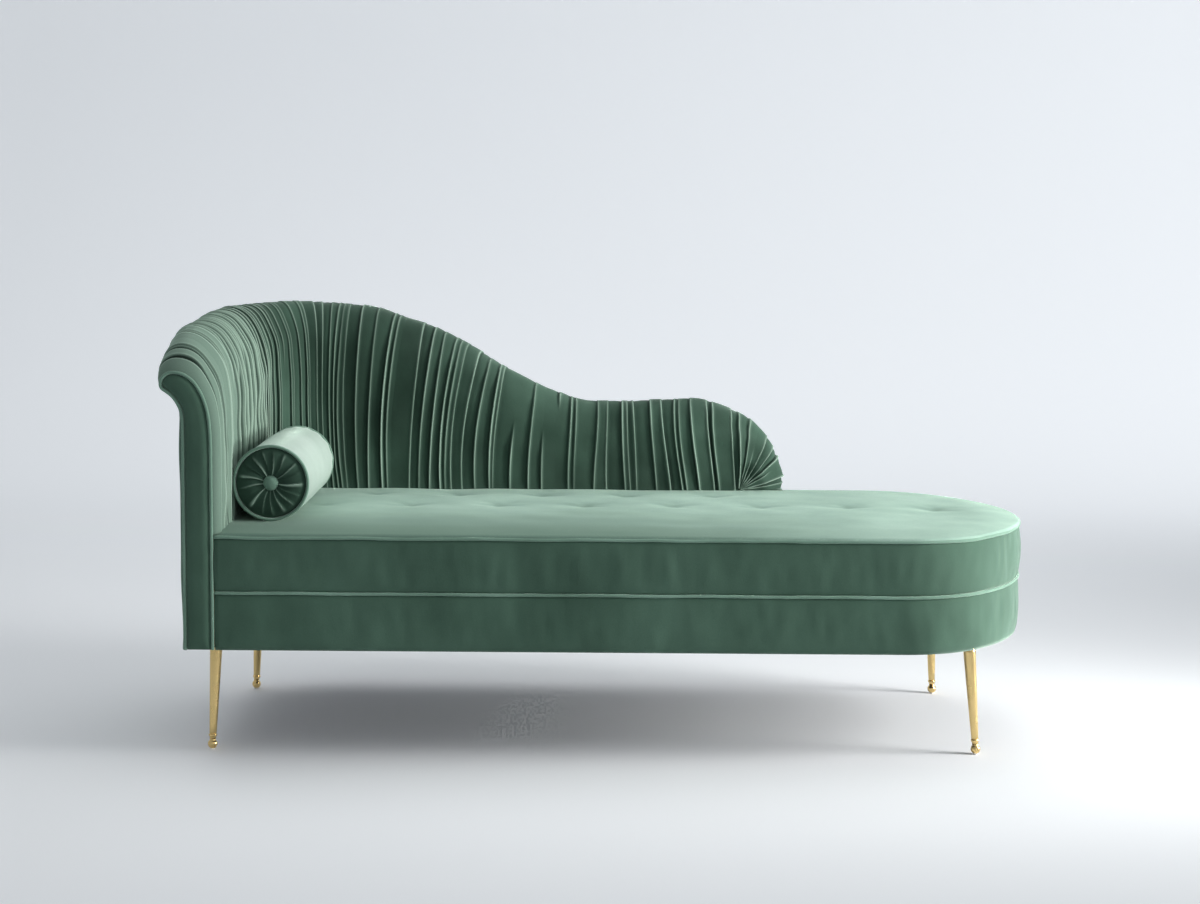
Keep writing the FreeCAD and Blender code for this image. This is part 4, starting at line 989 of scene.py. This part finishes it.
def metal(name, colour, wear_and_crest_highlight, roughness):
    """Polished metal with faint wear and smears."""
    n = Nodes(name)
    smears = n.noise(45.0, 5.0, stretch=(1.0, 1.0, 0.4))
    specks = n.noise(600.0, 2.0)
    shade = n.mix(n.math("MULTIPLY", smears, 0.5), colour, wear_and_crest_highlight)
    rough = n.ramp(smears, [(0.35, roughness), (0.7, roughness + 0.16)])
    return n.surface(shade, rough, Normal=n.bump(specks, 0.05, 0.0002), Metallic=1.0)


def plain(name, dark, pale, scale, roughness):
    n = Nodes(name)
    grain = n.noise(scale, 4.0)
    return n.surface(n.ramp(grain, [(0.3, dark), (0.7, pale)]), roughness, Normal=n.bump(grain, 0.25, 0.0006))


def dress(piece, material):
    piece.data.materials.clear()
    piece.data.materials.append(material)


# Stage, lights and camera


WARM, COOL, NEUTRAL = (1.0, 0.99, 0.97), (0.97, 0.99, 1.0), (1.0, 1.0, 1.0)


def stage():
    """Plain pale floor that sweeps up into the backdrop."""
    profile = [(-9.0, 0.0), (3.2, 0.0)]
    bend = np.linspace(0, math.pi / 2, 24)[1:]
    profile += [(3.2 + 2.0 * math.sin(a), 2.0 - 2.0 * math.cos(a)) for a in bend] + [(5.2, 9.0)]
    xs = np.linspace(-12, 12, 9)
    points = [(x, y, z) for y, z in profile for x in xs]
    mesh = smooth_mesh("studio_sweep", points, grid_faces(len(profile), len(xs)))
    sweep = add_object("studio_sweep", mesh)
    n = Nodes("studio_paper")
    grain = n.noise(400.0, 2.0)
    colour = n.ramp(grain, [(0.3, (0.79, 0.81, 0.83)), (0.7, (0.81, 0.83, 0.85))])
    seen = n.add("LightPath").outputs
    direct = n.math("MAXIMUM", seen["Is Glossy Ray"], seen["Is Transmission Ray"])
    direct = n.math("MAXIMUM", seen["Is Camera Ray"], direct)
    axes = n.add("SeparateXYZ", {0: n.coordinates}).outputs

    def across(axis, start, end, low, high, **settings):
        inputs = {"Value": axes[axis], "From Min": start, "From Max": end, "To Min": low, "To Max": high}
        return n.add("MapRange", inputs, **settings).outputs["Result"]

    # Painted light: for camera, glossy and transmission rays the sweep glows, faintly near the object, more
    # towards the backdrop, and brighter towards +x.
    behind = across("Y", 0.6, 4.5, 0.02, 0.44, interpolation_type="SMOOTHSTEP")
    backdrop = n.math("MULTIPLY", behind, across("X", -2.5, 2.5, 0.66, 1.22))
    material = n.surface(
        colour, 0.95, Specular_IOR_Level=0.1, Emission_Color=(0.93, 0.96, 1.0),
        Emission_Strength=n.math("MULTIPLY", direct, backdrop),
    )
    dress(sweep, material)


def area_light(name, place, target, size, power, colour, spread=180):
    """Rectangular lamp in metres and watts, aimed at a target."""
    light = bpy.data.lights.new(name, "AREA")
    light.spread = math.radians(spread)
    light.shape = "RECTANGLE"
    light.size, light.size_y = size
    light.energy = power
    light.color = colour
    holder = add_object(name, light)
    holder.location = place
    holder.rotation_euler = (Vector(target) - Vector(place)).to_track_quat("-Z", "Y").to_euler()


def world():
    surround = bpy.data.worlds.new("studio")
    surround.use_nodes = True
    sky = surround.node_tree.nodes["Background"].inputs
    sky["Color"].default_value = (0.92, 0.96, 1.0, 1.0)
    sky["Strength"].default_value = 0.44
    bpy.context.scene.world = surround


def camera():
    """Camera fitted to the photograph's frame of 1200 by 904."""
    yaw, tilt, roll = (math.radians(angle) for angle in (-0.20, 6.14, 0.45))
    right = Vector((math.cos(yaw), math.sin(yaw), 0))
    level = Vector((-math.sin(yaw) * math.sin(tilt), math.cos(yaw) * math.sin(tilt), math.cos(tilt)))
    forward = Vector((-math.sin(yaw) * math.cos(tilt), math.cos(yaw) * math.cos(tilt), -math.sin(tilt)))
    across = right * math.cos(roll) + level * math.sin(roll)
    upward = -right * math.sin(roll) + level * math.cos(roll)
    lens = bpy.data.cameras.new("photo_camera")
    lens.sensor_width = 36.0
    lens.lens = 63.69
    holder = add_object("photo_camera", lens)
    axes = Matrix((across, upward, -forward)).transposed().to_4x4()
    holder.matrix_world = Matrix.Translation((-0.027, -4.3075, 1.015)) @ axes
    bpy.context.scene.camera = holder


# Everything together


body_velvet = velvet("velvet_body", (0.046, 0.094, 0.066), (0.060, 0.118, 0.084), (0.078, 0.148, 0.107))
# Painted shade: the same velvet as the body with a darker base colour, for the shaded back; its painted marks
# add crest highlights, crease shade and a paler arm.
shaded_fold_velvet = velvet(
    "velvet_folds_painted_light_and_shade", (0.022, 0.048, 0.033), (0.035, 0.073, 0.051), (0.058, 0.112, 0.081),
    crest=0.85, painted_lighting_colour=(0.155, 0.235, 0.186), sheen=0.35,
)
# Painted sheen: the same velvet with a far paler base colour, for the top's sheen; the darker second colour
# is painted shade at the front edge and in the tufts.
sheen_lit_top_velvet = velvet(
    "velvet_top_painted_sheen_and_shade", (0.245, 0.37, 0.305), (0.30, 0.44, 0.365), (0.35, 0.50, 0.42),
    painted_lighting_colour=(0.110, 0.190, 0.145), sheen=0.2,
)
# Painted highlight: the same velvet with a paler base colour, for the highlights on the piping and buttons.
highlit_welt_velvet = velvet("velvet_piping_painted_highlight", (0.13, 0.225, 0.17), (0.17, 0.285, 0.22), (0.22, 0.35, 0.28))
# Painted sheen: the same velvet with a much paler base colour, for the bolster's sleeve.
sheen_lit_sleeve_velvet = velvet(
    "velvet_sleeve_painted_sheen", (0.33, 0.415, 0.365), (0.39, 0.475, 0.425), (0.45, 0.535, 0.485), sheen=0.5,
)
brass = metal("polished_brass", (0.80, 0.60, 0.27), (0.62, 0.44, 0.18), 0.16)
slot_materials = {
    "velvet": body_velvet,
    "piping": highlit_welt_velvet,
    "brass": brass,
    "steel": metal("zinc_steel", (0.62, 0.62, 0.62), (0.45, 0.45, 0.46), 0.3),
    "nylon": plain("moulded_nylon", (0.72, 0.71, 0.67), (0.84, 0.83, 0.79), 80.0, 0.45),
    "hardwood": wood("sawn_beech", (0.42, 0.28, 0.15), (0.63, 0.46, 0.29)),
    "plywood": wood("birch_plywood", (0.55, 0.40, 0.24), (0.76, 0.62, 0.44), (14.0, 14.0, 1.0)),
    "hardboard": plain("hardboard", (0.22, 0.14, 0.08), (0.34, 0.23, 0.14), 220.0, 0.75),
    "foam": plain("wadding", (0.72, 0.70, 0.60), (0.86, 0.84, 0.74), 300.0, 0.95),
    "webbing": woven("webbing", (0.30, 0.25, 0.17), (0.58, 0.50, 0.38), 160.0),
    "felt": plain("needled_felt", (0.22, 0.22, 0.21), (0.42, 0.42, 0.41), 260.0, 0.98),
    "cambric": plain("black_cambric", (0.010, 0.010, 0.011), (0.028, 0.028, 0.030), 500.0, 0.9),
}
for part in frame["record"]["subparts"]:
    dress(frame["nodes"][part["node"]], slot_materials[part["material_slot"]])

camera()
dress(ruched_cover(), shaded_fold_velvet)
dress(outside_cover(), body_velvet)
facing, facing_piping = arm_facing()
dress(facing, body_velvet)
dress(facing_piping, highlit_welt_velvet)
dress(seat_top(), sheen_lit_top_velvet)
dress(band("seat_boxing_cloth", LOWER_WELT, TOP_WELT, 3.0, 81, "seat_boxing"), body_velvet)
dress(band("base_band_cloth", BASE_BOTTOM, LOWER_WELT, 2.5, 91, "base_band", "base_padding"), body_velvet)
dress(seat_piping("top_piping", TOP_WELT, "top_welt", 6), highlit_welt_velvet)
dress(seat_piping("lower_piping", LOWER_WELT, "lower_welt", 7), highlit_welt_velvet)
dress(dust_cover(), slot_materials["cambric"])
for piece in legs():
    dress(piece, brass)
dress(bolster_sleeve(), sheen_lit_sleeve_velvet)
for bolster_end in BOLSTER_ENDS:
    dress(bolster_cap(*bolster_end), shaded_fold_velvet)
dress(bolster_buttons(), highlit_welt_velvet)
for bolster_end in BOLSTER_ENDS:
    dress(bolster_piping(*bolster_end), highlit_welt_velvet)

stage()
world()
area_light("key", (3.1, -0.75, 1.7), (0.1, 0, 0.58), (1.3, 1.3), 21, WARM, spread=90)
area_light("side", (2.7, -0.45, 0.6), (0.75, -0.1, 0.48), (0.7, 0.6), 11, WARM, spread=60)
area_light("front_fill", (1.6, -5.2, 2.0), (0.5, 0, 0.4), (3.0, 2.0), 14, COOL)
area_light("overhead", (-0.4, 1.0, 3.3), (-0.1, 0, 0.4), (3.4, 2.4), 42, NEUTRAL)
bpy.context.scene.view_settings.view_transform = "Standard"
